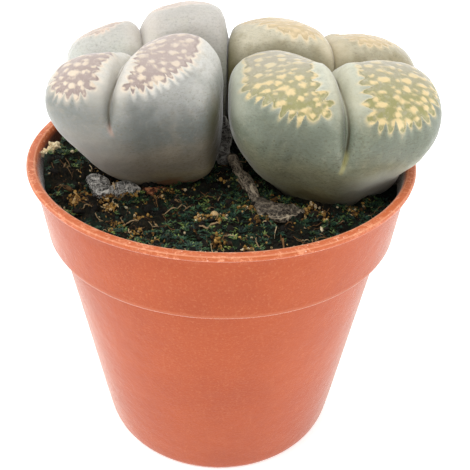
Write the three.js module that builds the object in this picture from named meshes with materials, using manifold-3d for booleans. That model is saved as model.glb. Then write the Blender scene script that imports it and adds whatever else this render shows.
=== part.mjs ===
// Potted lithops: two living-stone plants, each with two heads, in a small round plastic pot.
// Millimetres, +Z up. The origin is the centre of the pot's flat base, and -Y is the front.
import * as THREE from 'three';
import { mergeVertices } from 'three/addons/utils/BufferGeometryUtils.js';
import Module from 'manifold-3d';

const wasm = await Module();
wasm.setup();

// ---- driving dimensions -----------------------------------------------------------------

const GAP = 0.3; // clearance between two pieces that touch
const CLEAR = 0.42; // how far a head's skin is grown to cut what lies round it

const POT = {
  height: 48,
  lipRadius: 27.5,
  lipHeight: 0.7,
  lipWidth: 1.1, // width of the flat top of the lip
  collarTopRadius: 26.7,
  collarBottomRadius: 25.8,
  collarHeight: 10.5,
  bodyTopRadius: 24.45,
  baseRadius: 19.75,
  wall: 0.75,
  floor: 1,
  sides: 56,
};
const DRAIN = { count: 5, radius: 1.8, circle: 13 };

const SOIL = { level: 42.6, rings: 11, sides: 44, crumbs: 34 };
const NECK = 37.5; // height at which a head ends and its root crown begins

// A head is one leaf pair. Two egg-shaped lobes and a core grow from one base point to their
// tops and run into each other. The fissure is a groove in the upright plane through
// (fissure.x, fissure.y), turned by fissure.turn degrees from +X, and closes below closesAt.
// across and along are an egg's half widths across and along the fissure. presses lists the
// upright planes where the head is flattened against its neighbours.
const HEADS = [
  {
    name: 'left_front_head',
    colour: 0x9ba39d,
    fissure: { x: -14, y: -8, turn: 81, closesAt: 54.5 },
    base: [-5.7, 6.9, 34],
    lobes: [
      { top: [-19.6, -6.6, 60.6], across: 6.5, along: 6.5 },
      { top: [-6.2, -3.6, 61.4], across: 6.5, along: 8.1 },
    ],
    core: { top: [-13, -1.9, 59.2], across: 7, along: 7.2 },
    squareness: 2.25,
    flare: 0.78,
    presses: [{ x: 0, y: 1, at: 6 }, { x: 1, y: 0, at: 0.3 }],
  },
  {
    name: 'left_back_head',
    colour: 0xa2a29b,
    fissure: { x: -12.3, y: 11.5, turn: 100, closesAt: 54 },
    base: [-6.2, 11, 34],
    lobes: [
      { top: [-21, 15.9, 58.8], across: 6, along: 7.9 },
      { top: [-4.4, 15.2, 64.1], across: 6.2, along: 8.7 },
    ],
    core: { top: [-12.7, 13.6, 60.2], across: 4.2, along: 7.4 },
    squareness: 2.8,
    flare: 0.5,
    presses: [{ x: 0, y: -1, at: -6.3 }, { x: 1, y: 0, at: 0.5 }],
  },
  {
    name: 'right_front_head',
    colour: 0x9aa392,
    fissure: { x: 15.1, y: -9.5, turn: 95.5, closesAt: 51 },
    base: [16.6, 4.8, 34],
    lobes: [
      { top: [5, -3.9, 60.3], across: 7.4, along: 9.3 },
      { top: [23.6, -6.6, 60.6], across: 7, along: 7.5 },
    ],
    core: { top: [14.9, -8, 58.8], across: 5.6, along: 8.3 },
    squareness: 2.5,
    flare: 0.52,
    presses: [{ x: 0, y: 1, at: 5.8 }, { x: -1, y: 0, at: -0.1 }],
  },
  {
    name: 'right_back_head',
    colour: 0xa3a491,
    fissure: { x: 15.8, y: 11, turn: 95, closesAt: 54 },
    base: [11.6, 10.4, 34],
    lobes: [
      { top: [5, 14.5, 61.7], across: 7, along: 8.6 },
      { top: [26.1, 14.9, 58.4], across: 6.5, along: 7.9 },
    ],
    core: { top: [15.8, 13, 59.8], across: 5, along: 7.5 },
    squareness: 2.7,
    flare: 0.5,
    presses: [{ x: 0, y: -1, at: -6.1 }, { x: -1, y: 0, at: -0.3 }],
  },
];
const HEAD_MESH = { rings: 22, sides: 30 };
const EGG = { crossExponent: 2.3, flareAt: 0.35, slimmest: 0.12, fieldScale: 7.5 };
const BLEND = { lobes: 4, press: 1.6 };
const GROOVE = { depth: 1.2, halfWidth: 2.2, fade: 5 };
// Below the lip a head stays inside this radius, and above it may lean out over the lip.
const LIMIT = { radius: 25.1, draft: 0.09, from: 43, lip: 48.9, lean: 2.8, blend: 1.4 };

// Dry remains of last year's leaves round the necks. Each is a folded strip between its foot on
// the soil and its crest, both given by a few points.
const SHEATHS = [
  {
    name: 'left_front_sheath',
    colour: 0x77736c,
    foot: [[-18.4, -0.4], [-17.2, -2.8], [-15, -5.4], [-12.9, -4.4], [-11.7, -3.4]],
    crest: [
      [-19.2, -1.6, 44.2], [-18, -4.2, 44.9], [-15.6, -7, 44.3], [-13.1, -6.2, 44.6], [-12, -4.9, 43.9],
    ],
    folds: 3,
    fold: 0.45,
  },
  {
    name: 'left_front_husk',
    colour: 0x6e4530,
    foot: [[-10.9, -3.3], [-9.2, -4], [-7.2, -3.8]],
    crest: [[-10.7, -5.2, 43.6], [-9.2, -6, 43.9], [-7.3, -5.4, 43.5]],
    folds: 1,
    fold: 0.2,
  },
  {
    name: 'middle_sheath',
    colour: 0x857d70,
    foot: [[-0.7, 5.3], [0.2, 5.6], [1, 5.2]],
    crest: [[-0.6, 5, 49.2], [0.3, 4.7, 50.4], [0.8, 4.5, 48.6]],
    folds: 1,
    fold: 0.15,
  },
  {
    name: 'right_front_sheath',
    colour: 0x5f5140,
    foot: [[1.3, 4.2], [3, 0.2], [4.4, -4], [5.4, -7.4], [7.8, -9.8], [10.6, -8.9]],
    crest: [
      [1.6, 4, 45.9], [3.1, -0.5, 45.5], [4.3, -5, 45],
      [5, -8.8, 44.6], [7.9, -11.7, 44.3], [11, -10.6, 43.7],
    ],
    folds: 5,
    fold: 0.4,
  },
  {
    name: 'left_back_sheath',
    colour: 0x7a7266,
    foot: [[-15.6, 16.6], [-12.6, 19], [-8.6, 20], [-4.6, 19.2], [-2, 16.8]],
    crest: [
      [-16.4, 17.4, 44.4], [-13.2, 20.2, 45.2], [-8.7, 21.6, 44.5], [-4.2, 20.6, 45.2], [-1.4, 17.6, 44.3],
    ],
    folds: 4,
    fold: 0.35,
  },
  {
    name: 'right_back_sheath',
    colour: 0x7a7266,
    foot: [[4.4, 16.8], [7.6, 18.8], [11.4, 19.6], [14.8, 18.2], [17.2, 15.8]],
    crest: [[3.8, 17.5, 44.2], [7.2, 20.2, 45], [11.4, 21, 44.4], [15.2, 18.9, 44.9], [17.7, 16.1, 44]],
    folds: 4,
    fold: 0.35,
  },
];
const SHEATH = { thickness: 0.65, footHeight: 41.7, along: 14, up: 2 };

// A plant's two necks run down into one forked crown with a taproot and side roots.
const CROWNS = [
  { name: 'left_root_crown', heads: [0, 1], tip: [-8, 6, 9] },
  { name: 'right_root_crown', heads: [2, 3], tip: [9, 7, 10] },
];
const CROWN = { neckRadius: 3.4, forkHeight: 30, forkRadius: 2.6, tipRadius: 0.6, sideRoots: 3, sides: 8 };

const COLOURS = { pot: 0xc96f49, soil: 0x1f1c16, crown: 0x8a6a4a };

// ---- helpers: seeded numbers, solids, meshes ------------------------------------------------

function seededRandom(seed) {
  let state = seed;
  return () => {
    state = (state * 1664525 + 1013904223) % 4294967296;
    return state / 4294967296;
  };
}

function smoothMin(a, b, blend) {
  const near = Math.max(blend - Math.abs(a - b), 0) / blend;
  return Math.min(a, b) - (near * near * blend) / 4;
}

function smoothStep(value) {
  const t = THREE.MathUtils.clamp(value, 0, 1);
  return t * t * (3 - 2 * t);
}

// Merges a geometry's shared vertices and drops the triangles that collapse at its poles.
function weld(geometry) {
  const bare = geometry.clone();
  bare.deleteAttribute('normal');
  bare.deleteAttribute('uv');
  const merged = mergeVertices(bare, 1e-4);
  const corners = merged.index.array;
  const kept = [];
  for (let i = 0; i < corners.length; i += 3) {
    const [a, b, c] = [corners[i], corners[i + 1], corners[i + 2]];
    if (a !== b && b !== c && c !== a) kept.push(a, b, c);
  }
  merged.setIndex(kept);
  return merged;
}

function signedVolume(geometry) {
  const position = geometry.attributes.position;
  const [a, b, c] = [new THREE.Vector3(), new THREE.Vector3(), new THREE.Vector3()];
  let volume = 0;
  for (let i = 0; i < geometry.index.count; i += 3) {
    a.fromBufferAttribute(position, geometry.index.getX(i));
    b.fromBufferAttribute(position, geometry.index.getX(i + 1));
    c.fromBufferAttribute(position, geometry.index.getX(i + 2));
    volume += a.dot(b.cross(c)) / 6;
  }
  return volume;
}

// Turns a closed geometry into a solid, with its faces pointing out.
function toSolid(geometry) {
  const welded = weld(geometry);
  if (signedVolume(welded) < 0) {
    const corners = Array.from(welded.index.array);
    welded.setIndex(corners.reverse());
  }
  const mesh = new wasm.Mesh({
    numProp: 3,
    vertProperties: new Float32Array(welded.attributes.position.array),
    triVerts: new Uint32Array(welded.index.array),
  });
  return new wasm.Manifold(mesh);
}

function toGeometry(solid) {
  const mesh = solid.getMesh();
  const geometry = new THREE.BufferGeometry();
  geometry.setAttribute('position', new THREE.BufferAttribute(new Float32Array(mesh.vertProperties), 3));
  geometry.setIndex(Array.from(mesh.triVerts));
  geometry.computeVertexNormals();
  return geometry;
}

// The largest connected piece of a solid, without the scraps that a cut leaves.
function largestPiece(solid) {
  const pieces = solid.decompose();
  return pieces.reduce((best, piece) => (piece.volume() > best.volume() ? piece : best));
}

// A geometry with every vertex pushed out along its normal.
function grown(geometry, distance) {
  const welded = weld(geometry);
  if (signedVolume(welded) < 0) {
    welded.setIndex(Array.from(welded.index.array).reverse());
  }
  welded.computeVertexNormals();
  const { position, normal } = welded.attributes;
  for (let i = 0; i < position.count; i += 1) {
    position.setXYZ(
      i,
      position.getX(i) + distance * normal.getX(i),
      position.getY(i) + distance * normal.getY(i),
      position.getZ(i) + distance * normal.getZ(i),
    );
  }
  return welded;
}

// A LatheGeometry turned so that its profile's second coordinate is the height.
function turned(profile, sides) {
  const points = profile.map(([radius, height]) => new THREE.Vector2(radius, height));
  return new THREE.LatheGeometry(points, sides).rotateX(Math.PI / 2);
}

// A tapered round bar between two points.
function bar(from, to, fromRadius, toRadius, sides) {
  const start = new THREE.Vector3(...from);
  const end = new THREE.Vector3(...to);
  const axis = end.clone().sub(start);
  const geometry = new THREE.CylinderGeometry(toRadius, fromRadius, axis.length(), sides);
  const upright = new THREE.Vector3(0, 1, 0);
  geometry.applyQuaternion(new THREE.Quaternion().setFromUnitVectors(upright, axis.clone().normalize()));
  const middle = start.add(end).multiplyScalar(0.5);
  return geometry.translate(middle.x, middle.y, middle.z);
}

function namedMesh(name, geometry, colour, roughness) {
  const material = new THREE.MeshStandardMaterial({ color: colour, roughness, metalness: 0 });
  const mesh = new THREE.Mesh(geometry, material);
  mesh.name = name;
  return mesh;
}

// ---- pot ------------------------------------------------------------------------------------

const collarBottom = POT.height - POT.collarHeight;

// Radius of the pot's inner wall at a height.
function innerRadius(z) {
  const stepTop = collarBottom + POT.wall;
  if (z >= stepTop) {
    const along = (z - stepTop) / (POT.height - stepTop);
    return THREE.MathUtils.lerp(POT.collarBottomRadius, POT.collarTopRadius, along) - POT.wall;
  }
  const along = z / collarBottom;
  return THREE.MathUtils.lerp(POT.baseRadius, POT.bodyTopRadius, Math.min(along, 1)) - POT.wall;
}

function buildPot() {
  const lipInner = POT.lipRadius - POT.lipWidth;
  const lipBottom = POT.height - POT.lipHeight;
  const innerStep = collarBottom - POT.wall;
  const profile = [
    [0, 0],
    [POT.baseRadius - 0.7, 0],
    [POT.baseRadius - 0.15, 0.25],
    [POT.baseRadius + 0.05, 0.9],
    [POT.bodyTopRadius, collarBottom - 0.15],
    [POT.bodyTopRadius + 0.2, collarBottom],
    [POT.collarBottomRadius - 0.15, collarBottom],
    [POT.collarBottomRadius, collarBottom + 0.2],
    [POT.collarTopRadius, lipBottom - 0.25],
    [POT.lipRadius - 0.12, lipBottom - 0.05],
    [POT.lipRadius, lipBottom + 0.2],
    [POT.lipRadius - 0.18, POT.height],
    [lipInner, POT.height],
    [innerRadius(POT.height - 0.8), POT.height - 0.8],
    [innerRadius(collarBottom + POT.wall), collarBottom + POT.wall],
    [innerRadius(innerStep), innerStep],
    [innerRadius(POT.floor + 1), POT.floor + 1],
    [innerRadius(POT.floor) - 0.9, POT.floor],
    [0, POT.floor],
  ];
  let solid = toSolid(turned(profile, POT.sides));
  for (let i = 0; i < DRAIN.count; i += 1) {
    const bearing = (i / DRAIN.count) * 2 * Math.PI + Math.PI / 2;
    const [x, y] = [DRAIN.circle * Math.cos(bearing), DRAIN.circle * Math.sin(bearing)];
    solid = solid.subtract(toSolid(bar([x, y, -1], [x, y, POT.floor + 1], DRAIN.radius, DRAIN.radius, 16)));
  }
  return toGeometry(solid);
}

// ---- heads ----------------------------------------------------------------------------------

// Signed measure of how far a point lies outside an egg that grows from base to top.
function eggField(point, base, egg, head) {
  const axis = new THREE.Vector3(...egg.top).sub(base);
  const length = axis.length();
  axis.normalize();
  const along = head.along.clone().addScaledVector(axis, -head.along.dot(axis)).normalize();
  const across = new THREE.Vector3().crossVectors(along, axis);
  const offset = point.clone().sub(base);
  const height = (offset.dot(axis) / length) * 2 - 1;
  const taper = Math.max((1 + head.flare * height) / (1 + head.flare * EGG.flareAt), EGG.slimmest);
  const x = Math.abs(offset.dot(across)) / egg.across;
  const y = Math.abs(offset.dot(along)) / egg.along;
  const ring = (x ** EGG.crossExponent + y ** EGG.crossExponent) ** (1 / EGG.crossExponent) / taper;
  const n = head.squareness;
  return ((ring ** n + Math.abs(height) ** n) ** (1 / n) - 1) * EGG.fieldScale;
}

// Signed distance of (x, y) from the plane of the head's fissure.
function fromFissure(x, y, head) {
  return (x - head.fissure.x) * head.acrossPlan.x + (y - head.fissure.y) * head.acrossPlan.y;
}

// Negative inside the head, zero on its skin.
function headField(point, head) {
  const base = head.basePoint;
  const lobes = head.lobes.map((lobe) => eggField(point, base, lobe, head));
  let field = smoothMin(lobes[0], lobes[1], BLEND.lobes);
  field = smoothMin(field, eggField(point, base, head.core, head), BLEND.lobes);
  const open = smoothStep((point.z - head.fissure.closesAt + 1) / GROOVE.fade);
  const shoulder = Math.max(1 - Math.abs(fromFissure(point.x, point.y, head)) / GROOVE.halfWidth, 0);
  field += GROOVE.depth * open * shoulder * shoulder;
  for (const press of head.presses) {
    const outside = point.x * press.x + point.y * press.y - press.at;
    field = -smoothMin(-field, -outside, BLEND.press);
  }
  const overLip = -smoothMin(LIMIT.lip - point.z, 0, LIMIT.blend);
  const roomy = LIMIT.radius + LIMIT.draft * (point.z - LIMIT.from) + LIMIT.lean * overLip;
  field = -smoothMin(-field, roomy - Math.hypot(point.x, point.y), LIMIT.blend);
  return Math.max(field, NECK - point.z);
}

function prepared(head) {
  const turn = THREE.MathUtils.degToRad(head.fissure.turn);
  return {
    ...head,
    basePoint: new THREE.Vector3(...head.base),
    along: new THREE.Vector3(Math.cos(turn), Math.sin(turn), 0),
    acrossPlan: new THREE.Vector3(Math.sin(turn), -Math.cos(turn), 0),
  };
}

// Distance from a start point along a direction to where the head's skin is left.
function castOut(start, direction, head) {
  const step = 0.4;
  const reach = 36;
  const point = new THREE.Vector3();
  let low = 0;
  let high = step;
  while (high < reach && headField(point.copy(start).addScaledVector(direction, high), head) < 0) {
    low = high;
    high += step;
  }
  for (let i = 0; i < 18; i += 1) {
    const middle = (low + high) / 2;
    if (headField(point.copy(start).addScaledVector(direction, middle), head) < 0) low = middle;
    else high = middle;
  }
  return (low + high) / 2;
}

// The skin is a sphere's mesh with its poles across the fissure, cast out onto the field. Its
// middle ring lies in the fissure's plane, so the crease is crisp.
function headGeometry(head) {
  const tops = head.lobes.map((lobe) => new THREE.Vector3(...lobe.top));
  const centre = tops[0].clone().add(tops[1]).multiplyScalar(0.36).addScaledVector(head.basePoint, 0.28);
  centre.addScaledVector(head.acrossPlan, -fromFissure(centre.x, centre.y, head));
  const geometry = new THREE.SphereGeometry(1, HEAD_MESH.sides, HEAD_MESH.rings);
  const position = geometry.attributes.position;
  const direction = new THREE.Vector3();
  for (let i = 0; i < position.count; i += 1) {
    direction.fromBufferAttribute(position, i);
    const polar = Math.acos(THREE.MathUtils.clamp(direction.y, -1, 1));
    const evenly = (polar / Math.PI) * 2 - 1;
    const crowded = (Math.PI / 2) * (1 + Math.sign(evenly) * Math.abs(evenly) ** 1.15);
    const around = Math.atan2(direction.z, direction.x);
    direction.set(0, 0, 0);
    direction.addScaledVector(head.acrossPlan, -Math.cos(crowded));
    direction.addScaledVector(head.along, Math.sin(crowded) * Math.cos(around));
    direction.z += Math.sin(crowded) * Math.sin(around);
    direction.normalize();
    const distance = castOut(centre, direction, head);
    position.setXYZ(
      i,
      centre.x + distance * direction.x,
      centre.y + distance * direction.y,
      centre.z + distance * direction.z,
    );
  }
  return geometry;
}

// Centre of the head's cut foot, where its root crown meets it.
function footOf(geometry) {
  const box = new THREE.Box3();
  const position = geometry.attributes.position;
  const point = new THREE.Vector3();
  for (let i = 0; i < position.count; i += 1) {
    point.fromBufferAttribute(position, i);
    if (point.z < NECK + 0.2) box.expandByPoint(point);
  }
  return box.getCenter(new THREE.Vector3());
}

// ---- dry sheaths ----------------------------------------------------------------------------

// A ragged, folded strip that stands on the soil. grow widens it on every side.
function sheathGeometry(sheath, grow) {
  const random = seededRandom(sheath.name.length * 97 + sheath.foot.length);
  const phases = [random(), random(), random()].map((value) => value * 2 * Math.PI);
  const footLine = new THREE.CatmullRomCurve3(
    sheath.foot.map(([x, y]) => new THREE.Vector3(x, y, SHEATH.footHeight)),
  );
  const crestLine = new THREE.CatmullRomCurve3(sheath.crest.map((point) => new THREE.Vector3(...point)));
  const geometry = new THREE.BoxGeometry(1, 1, 1, SHEATH.along, 1, SHEATH.up);
  const position = geometry.attributes.position;
  const sideways = new THREE.Vector3();
  for (let i = 0; i < position.count; i += 1) {
    const s = position.getX(i) + 0.5;
    const outer = position.getY(i);
    const t = position.getZ(i) + 0.5;
    const foot = footLine.getPoint(s);
    const crest = crestLine.getPoint(s);
    const along = footLine.getTangent(s);
    sideways.set(along.y, -along.x, 0).normalize();
    const ragged = 0.92 + 0.12 * Math.sin(9 * s + phases[0]) + 0.08 * Math.sin(21 * s + phases[1]);
    const point = foot.lerp(crest, t * ragged);
    const fold = sheath.fold * Math.sin(2 * Math.PI * sheath.folds * s + phases[2]) * t;
    point.addScaledVector(sideways, fold + outer * (SHEATH.thickness + 2 * grow));
    point.addScaledVector(along, 2 * (s - 0.5) * grow);
    point.z += 2 * (t - 0.5) * grow;
    position.setXYZ(i, point.x, point.y, point.z);
  }
  return geometry;
}

// ---- root crowns ----------------------------------------------------------------------------

// grow widens every bar, for the pocket that the crown fills in the soil.
function crownSolid(crown, feet, grow) {
  const random = seededRandom(crown.name.length * 31 + 5);
  const fork = feet[0].clone().add(feet[1]).multiplyScalar(0.5);
  fork.z = CROWN.forkHeight;
  const tip = new THREE.Vector3(...crown.tip);
  const top = NECK - GAP + grow;
  const forkRadius = CROWN.forkRadius + grow;
  const neckRadius = CROWN.neckRadius + grow;
  const sides = CROWN.sides;
  const deepest = [tip.x, tip.y, tip.z - grow];
  let solid = toSolid(bar(fork.toArray(), deepest, forkRadius, CROWN.tipRadius + grow, sides));
  for (const foot of feet) {
    const neck = [foot.x, foot.y, top];
    const shoulder = [foot.x, foot.y, top - 3 - grow];
    const sunk = [fork.x, fork.y, fork.z - 2];
    solid = solid.add(toSolid(bar(shoulder, neck, neckRadius, neckRadius, sides)));
    solid = solid.add(toSolid(bar(sunk, shoulder, forkRadius, forkRadius, sides)));
  }
  for (let i = 0; i < CROWN.sideRoots; i += 1) {
    const from = fork.clone().lerp(tip, 0.12 + (0.76 * i) / CROWN.sideRoots);
    const inward = Math.atan2(-from.y, -from.x);
    const bearing = inward + (i - 1) * 1.2 + 0.4 * random();
    const length = 3.5 + 3 * random();
    const elbow = from.clone();
    elbow.x += length * Math.cos(bearing);
    elbow.y += length * Math.sin(bearing);
    elbow.z -= 2 + 2 * random();
    const end = elbow.clone();
    end.x += 2.5 * Math.cos(bearing + 0.5);
    end.y += 2.5 * Math.sin(bearing + 0.5);
    end.z -= 3 + 2 * random();
    solid = solid.add(toSolid(bar(from.toArray(), elbow.toArray(), 0.8 + grow, 0.6 + grow, 6)));
    const bend = elbow.clone().lerp(from, 0.08);
    solid = solid.add(toSolid(bar(bend.toArray(), end.toArray(), 0.6 + grow, 0.35 + grow, 6)));
  }
  return solid;
}

// ---- soil -----------------------------------------------------------------------------------

// Height of the soil's surface: a rough bed with a bank against the pot's left wall.
function soilHeight(x, y) {
  const radius = Math.hypot(x, y);
  const bank = 3.6 * Math.exp(-(((x + 25) / 5) ** 2) - ((y + 1) / 8) ** 2);
  const edge = 0.7 * (radius / 25) ** 4;
  const waves = 0.3 * Math.sin(0.9 * x + 0.7 * y) + 0.22 * Math.sin(1.7 * x - 1.3 * y + 2);
  const ripples = 0.15 * Math.sin(x + 2.9 * y);
  return SOIL.level + bank + edge + waves + ripples;
}

function buildSoil(pockets) {
  const bottom = POT.floor + GAP;
  const side = (z) => [innerRadius(z) - GAP, z];
  const rim = SOIL.level;
  const profile = [
    [0, bottom],
    [innerRadius(POT.floor) - 0.9 - GAP, bottom],
    side(POT.floor + 1 + GAP),
    side(collarBottom - POT.wall),
    [innerRadius(collarBottom - POT.wall) - GAP, collarBottom + POT.wall + GAP],
    side(collarBottom + POT.wall + 3 * GAP),
    side(rim),
  ];
  const edgeRadius = innerRadius(rim) - GAP;
  for (let i = SOIL.rings - 1; i >= 0; i -= 1) {
    profile.push([(edgeRadius * i) / SOIL.rings, rim]);
  }
  const geometry = turned(profile, SOIL.sides);
  const position = geometry.attributes.position;
  for (let i = 0; i < position.count; i += 1) {
    if (position.getZ(i) > rim - 0.01) {
      position.setZ(i, soilHeight(position.getX(i), position.getY(i)));
    }
  }
  let solid = toSolid(geometry);
  const random = seededRandom(11);
  for (let i = 0; i < SOIL.crumbs; i += 1) {
    const radius = (edgeRadius - 1.8) * Math.sqrt(random());
    const bearing = 2 * Math.PI * random();
    const [x, y] = [radius * Math.cos(bearing), radius * Math.sin(bearing)];
    const size = 0.7 + 0.7 * random();
    const crumb = new THREE.IcosahedronGeometry(size, 0).rotateX(random() * 3).rotateY(random() * 3);
    crumb.scale(1.2, 1, 0.8).translate(x, y, soilHeight(x, y) + 0.15 * size);
    solid = solid.add(toSolid(crumb));
  }
  for (const pocket of pockets) solid = solid.subtract(pocket);
  return toGeometry(largestPiece(solid));
}

// ---- assembly -------------------------------------------------------------------------------

const object = new THREE.Group();

const heads = HEADS.map(prepared);
const skins = heads.map(headGeometry);
const feet = skins.map(footOf);
skins.forEach((skin, i) => {
  object.add(namedMesh(heads[i].name, toGeometry(toSolid(skin)), heads[i].colour, 0.6));
});
const headPockets = skins.map((skin) => toSolid(grown(skin, CLEAR)));

// What a sheath has to stay clear of: the heads and the sheaths that are placed already.
const taken = [...headPockets];
const sheathPockets = [];
for (const sheath of SHEATHS) {
  const whole = toSolid(sheathGeometry(sheath, 0));
  const solid = largestPiece(taken.reduce((rest, other) => rest.subtract(other), whole));
  object.add(namedMesh(sheath.name, toGeometry(solid), sheath.colour, 0.85));
  const room = toSolid(sheathGeometry(sheath, GAP));
  taken.push(room);
  sheathPockets.push(room);
}

const crownPockets = [];
for (const crown of CROWNS) {
  const crownFeet = crown.heads.map((index) => feet[index]);
  object.add(namedMesh(crown.name, toGeometry(crownSolid(crown, crownFeet, 0)), COLOURS.crown, 0.9));
  crownPockets.push(crownSolid(crown, crownFeet, GAP));
}

const pockets = [...headPockets, ...sheathPockets, ...crownPockets];
object.add(namedMesh('soil', buildSoil(pockets), COLOURS.soil, 1));
object.add(namedMesh('pot', buildPot(), COLOURS.pot, 0.5));

export default object;
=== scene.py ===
import math
import bpy
import numpy as np
from mathutils import Matrix, Vector


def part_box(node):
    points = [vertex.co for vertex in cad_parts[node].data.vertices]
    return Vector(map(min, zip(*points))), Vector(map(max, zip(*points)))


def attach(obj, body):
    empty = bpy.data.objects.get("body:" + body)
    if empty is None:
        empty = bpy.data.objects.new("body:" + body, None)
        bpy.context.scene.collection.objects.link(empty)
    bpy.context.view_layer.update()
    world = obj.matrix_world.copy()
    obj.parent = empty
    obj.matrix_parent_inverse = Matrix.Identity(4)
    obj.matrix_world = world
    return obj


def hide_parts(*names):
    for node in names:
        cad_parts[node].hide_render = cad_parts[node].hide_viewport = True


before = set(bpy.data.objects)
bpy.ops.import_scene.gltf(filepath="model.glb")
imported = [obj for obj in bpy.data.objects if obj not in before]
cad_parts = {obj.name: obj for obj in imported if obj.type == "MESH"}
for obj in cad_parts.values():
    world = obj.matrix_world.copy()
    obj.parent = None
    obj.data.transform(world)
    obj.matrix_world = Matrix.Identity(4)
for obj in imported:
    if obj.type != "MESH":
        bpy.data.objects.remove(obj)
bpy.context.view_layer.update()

# ---- the shared frame: everything below is in millimetres from the centre of the pot's base ----

POT_HEIGHT = 48.0
COLLAR_FOOT = 37.5
COLLAR_INSIDE = 38.25
WALL = 0.75
SOIL_LEVEL = 42.6
SOIL_RADIUS = 25.0
NECK = 37.5
pot_low, pot_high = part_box("pot")
MM = (pot_high.z - pot_low.z) / POT_HEIGHT
ORIGIN = np.array([(pot_low.x + pot_high.x) / 2, (pot_low.y + pot_high.y) / 2, pot_low.z])
RIM = (pot_high.x - pot_low.x) / 2 / MM


# ---- numbers: seeded noise and smooth steps ----

def lattice(ix, iy, iz, seed):
    """A fixed random number from 0 to 1 for each whole-number point."""
    h = (ix * 374761393 + iy * 668265263 + iz * 2147483647 + seed * 144665) & 0xFFFFFFFF
    h = ((h ^ (h >> 13)) * 1274126177) & 0xFFFFFFFF
    h = ((h ^ (h >> 16)) * 2246822519) & 0xFFFFFFFF
    return ((h ^ (h >> 15)) & 0xFFFFFF) / float(0xFFFFFF)


def noise(points, scale=1.0, seed=0):
    """Smooth noise from -1 to 1, with bumps about 1 / scale wide."""
    p = np.asarray(points, float) * scale
    cell = np.floor(p).astype(np.int64)
    f = p - cell
    f = f * f * f * (f * (f * 6 - 15) + 10)
    total = 0
    for dx in (0, 1):
        for dy in (0, 1):
            for dz in (0, 1):
                corner = np.array([dx, dy, dz])
                weight = np.where(corner == 1, f, 1 - f).prod(-1)
                total = total + weight * lattice(*np.moveaxis(cell + corner, -1, 0), seed)
    return total * 2 - 1


def rough(points, scale, octaves, seed=0, gain=0.5):
    total, size = 0, 1.0
    for i in range(octaves):
        total = total + size * noise(points, scale * 2.03 ** i, seed + 17 * i)
        size *= gain
    return total


def smooth_step(value):
    t = np.clip(value, 0, 1)
    return t * t * (3 - 2 * t)


def smooth_min(a, b, blend):
    near = np.maximum(blend - np.abs(a - b), 0) / blend
    return np.minimum(a, b) - near * near * blend / 4


def unit(v):
    v = np.asarray(v, float)
    return v / np.maximum(np.linalg.norm(v, axis=-1, keepdims=True), 1e-12)


def curve_through(points, count, closed=False):
    """count points on a Catmull-Rom curve through the given points."""
    p = np.asarray(points, float)
    if closed:
        p = np.vstack([p[-1], p, p[0], p[1]])
        t = np.linspace(0, len(points), count, endpoint=False)
    else:
        p = np.vstack([2 * p[0] - p[1], p, 2 * p[-1] - p[-2]])
        t = np.linspace(0, len(points) - 1, count)
    i = np.minimum(t.astype(int), len(p) - 4)
    f = (t - i)[:, None]
    a, b, c, d = p[i], p[i + 1], p[i + 2], p[i + 3]
    bend, twist = 2 * a - 5 * b + 4 * c - d, 3 * b - a - 3 * c + d
    return 0.5 * (2 * b + (c - a) * f + bend * f ** 2 + twist * f ** 3)


# ---- meshes ----

def make_piece(name, points, faces, material, replaces=(), slot=None, values=None, smooth=True):
    """A piece from points in mm and an array of equal-sided faces. values are kept at its points."""
    points, faces = np.asarray(points, float).reshape(-1, 3), np.asarray(faces, np.int32)
    mesh = bpy.data.meshes.new(name)
    mesh.vertices.add(len(points))
    mesh.vertices.foreach_set("co", (ORIGIN + points * MM).astype(np.float32).ravel())
    mesh.loops.add(faces.size)
    mesh.loops.foreach_set("vertex_index", faces.ravel())
    mesh.polygons.add(len(faces))
    mesh.polygons.foreach_set("loop_start", np.arange(0, faces.size, faces.shape[1], dtype=np.int32))
    mesh.update(calc_edges=True)
    mesh.validate()
    mesh.polygons.foreach_set("use_smooth", np.full(len(mesh.polygons), smooth))
    for key, numbers in (values or {}).items():
        layer = mesh.attributes.new(key, "FLOAT", "POINT")
        layer.data.foreach_set("value", np.asarray(numbers, np.float32).ravel())
    mesh.materials.append(material)
    piece = bpy.data.objects.new(name, mesh)
    bpy.context.scene.collection.objects.link(piece)
    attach(piece, "root")
    if replaces:
        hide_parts(*replaces)
    return piece


def grid_faces(rows, columns, around=False):
    """Quads of a grid of rows x columns points. around joins each row's end to its start."""
    span = columns if around else columns - 1
    i, j = np.meshgrid(np.arange(rows - 1), np.arange(span), indexing="ij")
    k = (j + 1) % columns
    row, following = i * columns, (i + 1) * columns
    return np.stack([row + j, row + k, following + k, following + j], -1).reshape(-1, 4)


def icosphere(levels):
    golden = (1 + 5 ** 0.5) / 2
    flat = [(-1, golden, 0), (1, golden, 0), (-1, -golden, 0), (1, -golden, 0)]
    points = flat + [(z, x, y) for x, y, z in flat] + [(y, z, x) for x, y, z in flat]
    faces = [(0, 11, 5), (0, 5, 1), (0, 1, 7), (0, 7, 10), (0, 10, 11), (1, 5, 9), (5, 11, 4), (11, 10, 2)]
    faces += [(10, 7, 6), (7, 1, 8), (3, 9, 4), (3, 4, 2), (3, 2, 6), (3, 6, 8), (3, 8, 9), (4, 9, 5)]
    faces += [(2, 4, 11), (6, 2, 10), (8, 6, 7), (9, 8, 1)]
    points = [unit(p) for p in points]
    for _ in range(levels):
        middles, finer = {}, []

        def middle(a, b):
            key = (min(a, b), max(a, b))
            if key not in middles:
                middles[key] = len(points)
                points.append(unit((points[a] + points[b]) / 2))
            return middles[key]

        for a, b, c in faces:
            ab, bc, ca = middle(a, b), middle(b, c), middle(c, a)
            finer += [(a, ab, ca), (b, bc, ab), (c, ca, bc), (ab, bc, ca)]
        faces = finer
    return np.array(points), np.array(faces)


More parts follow.
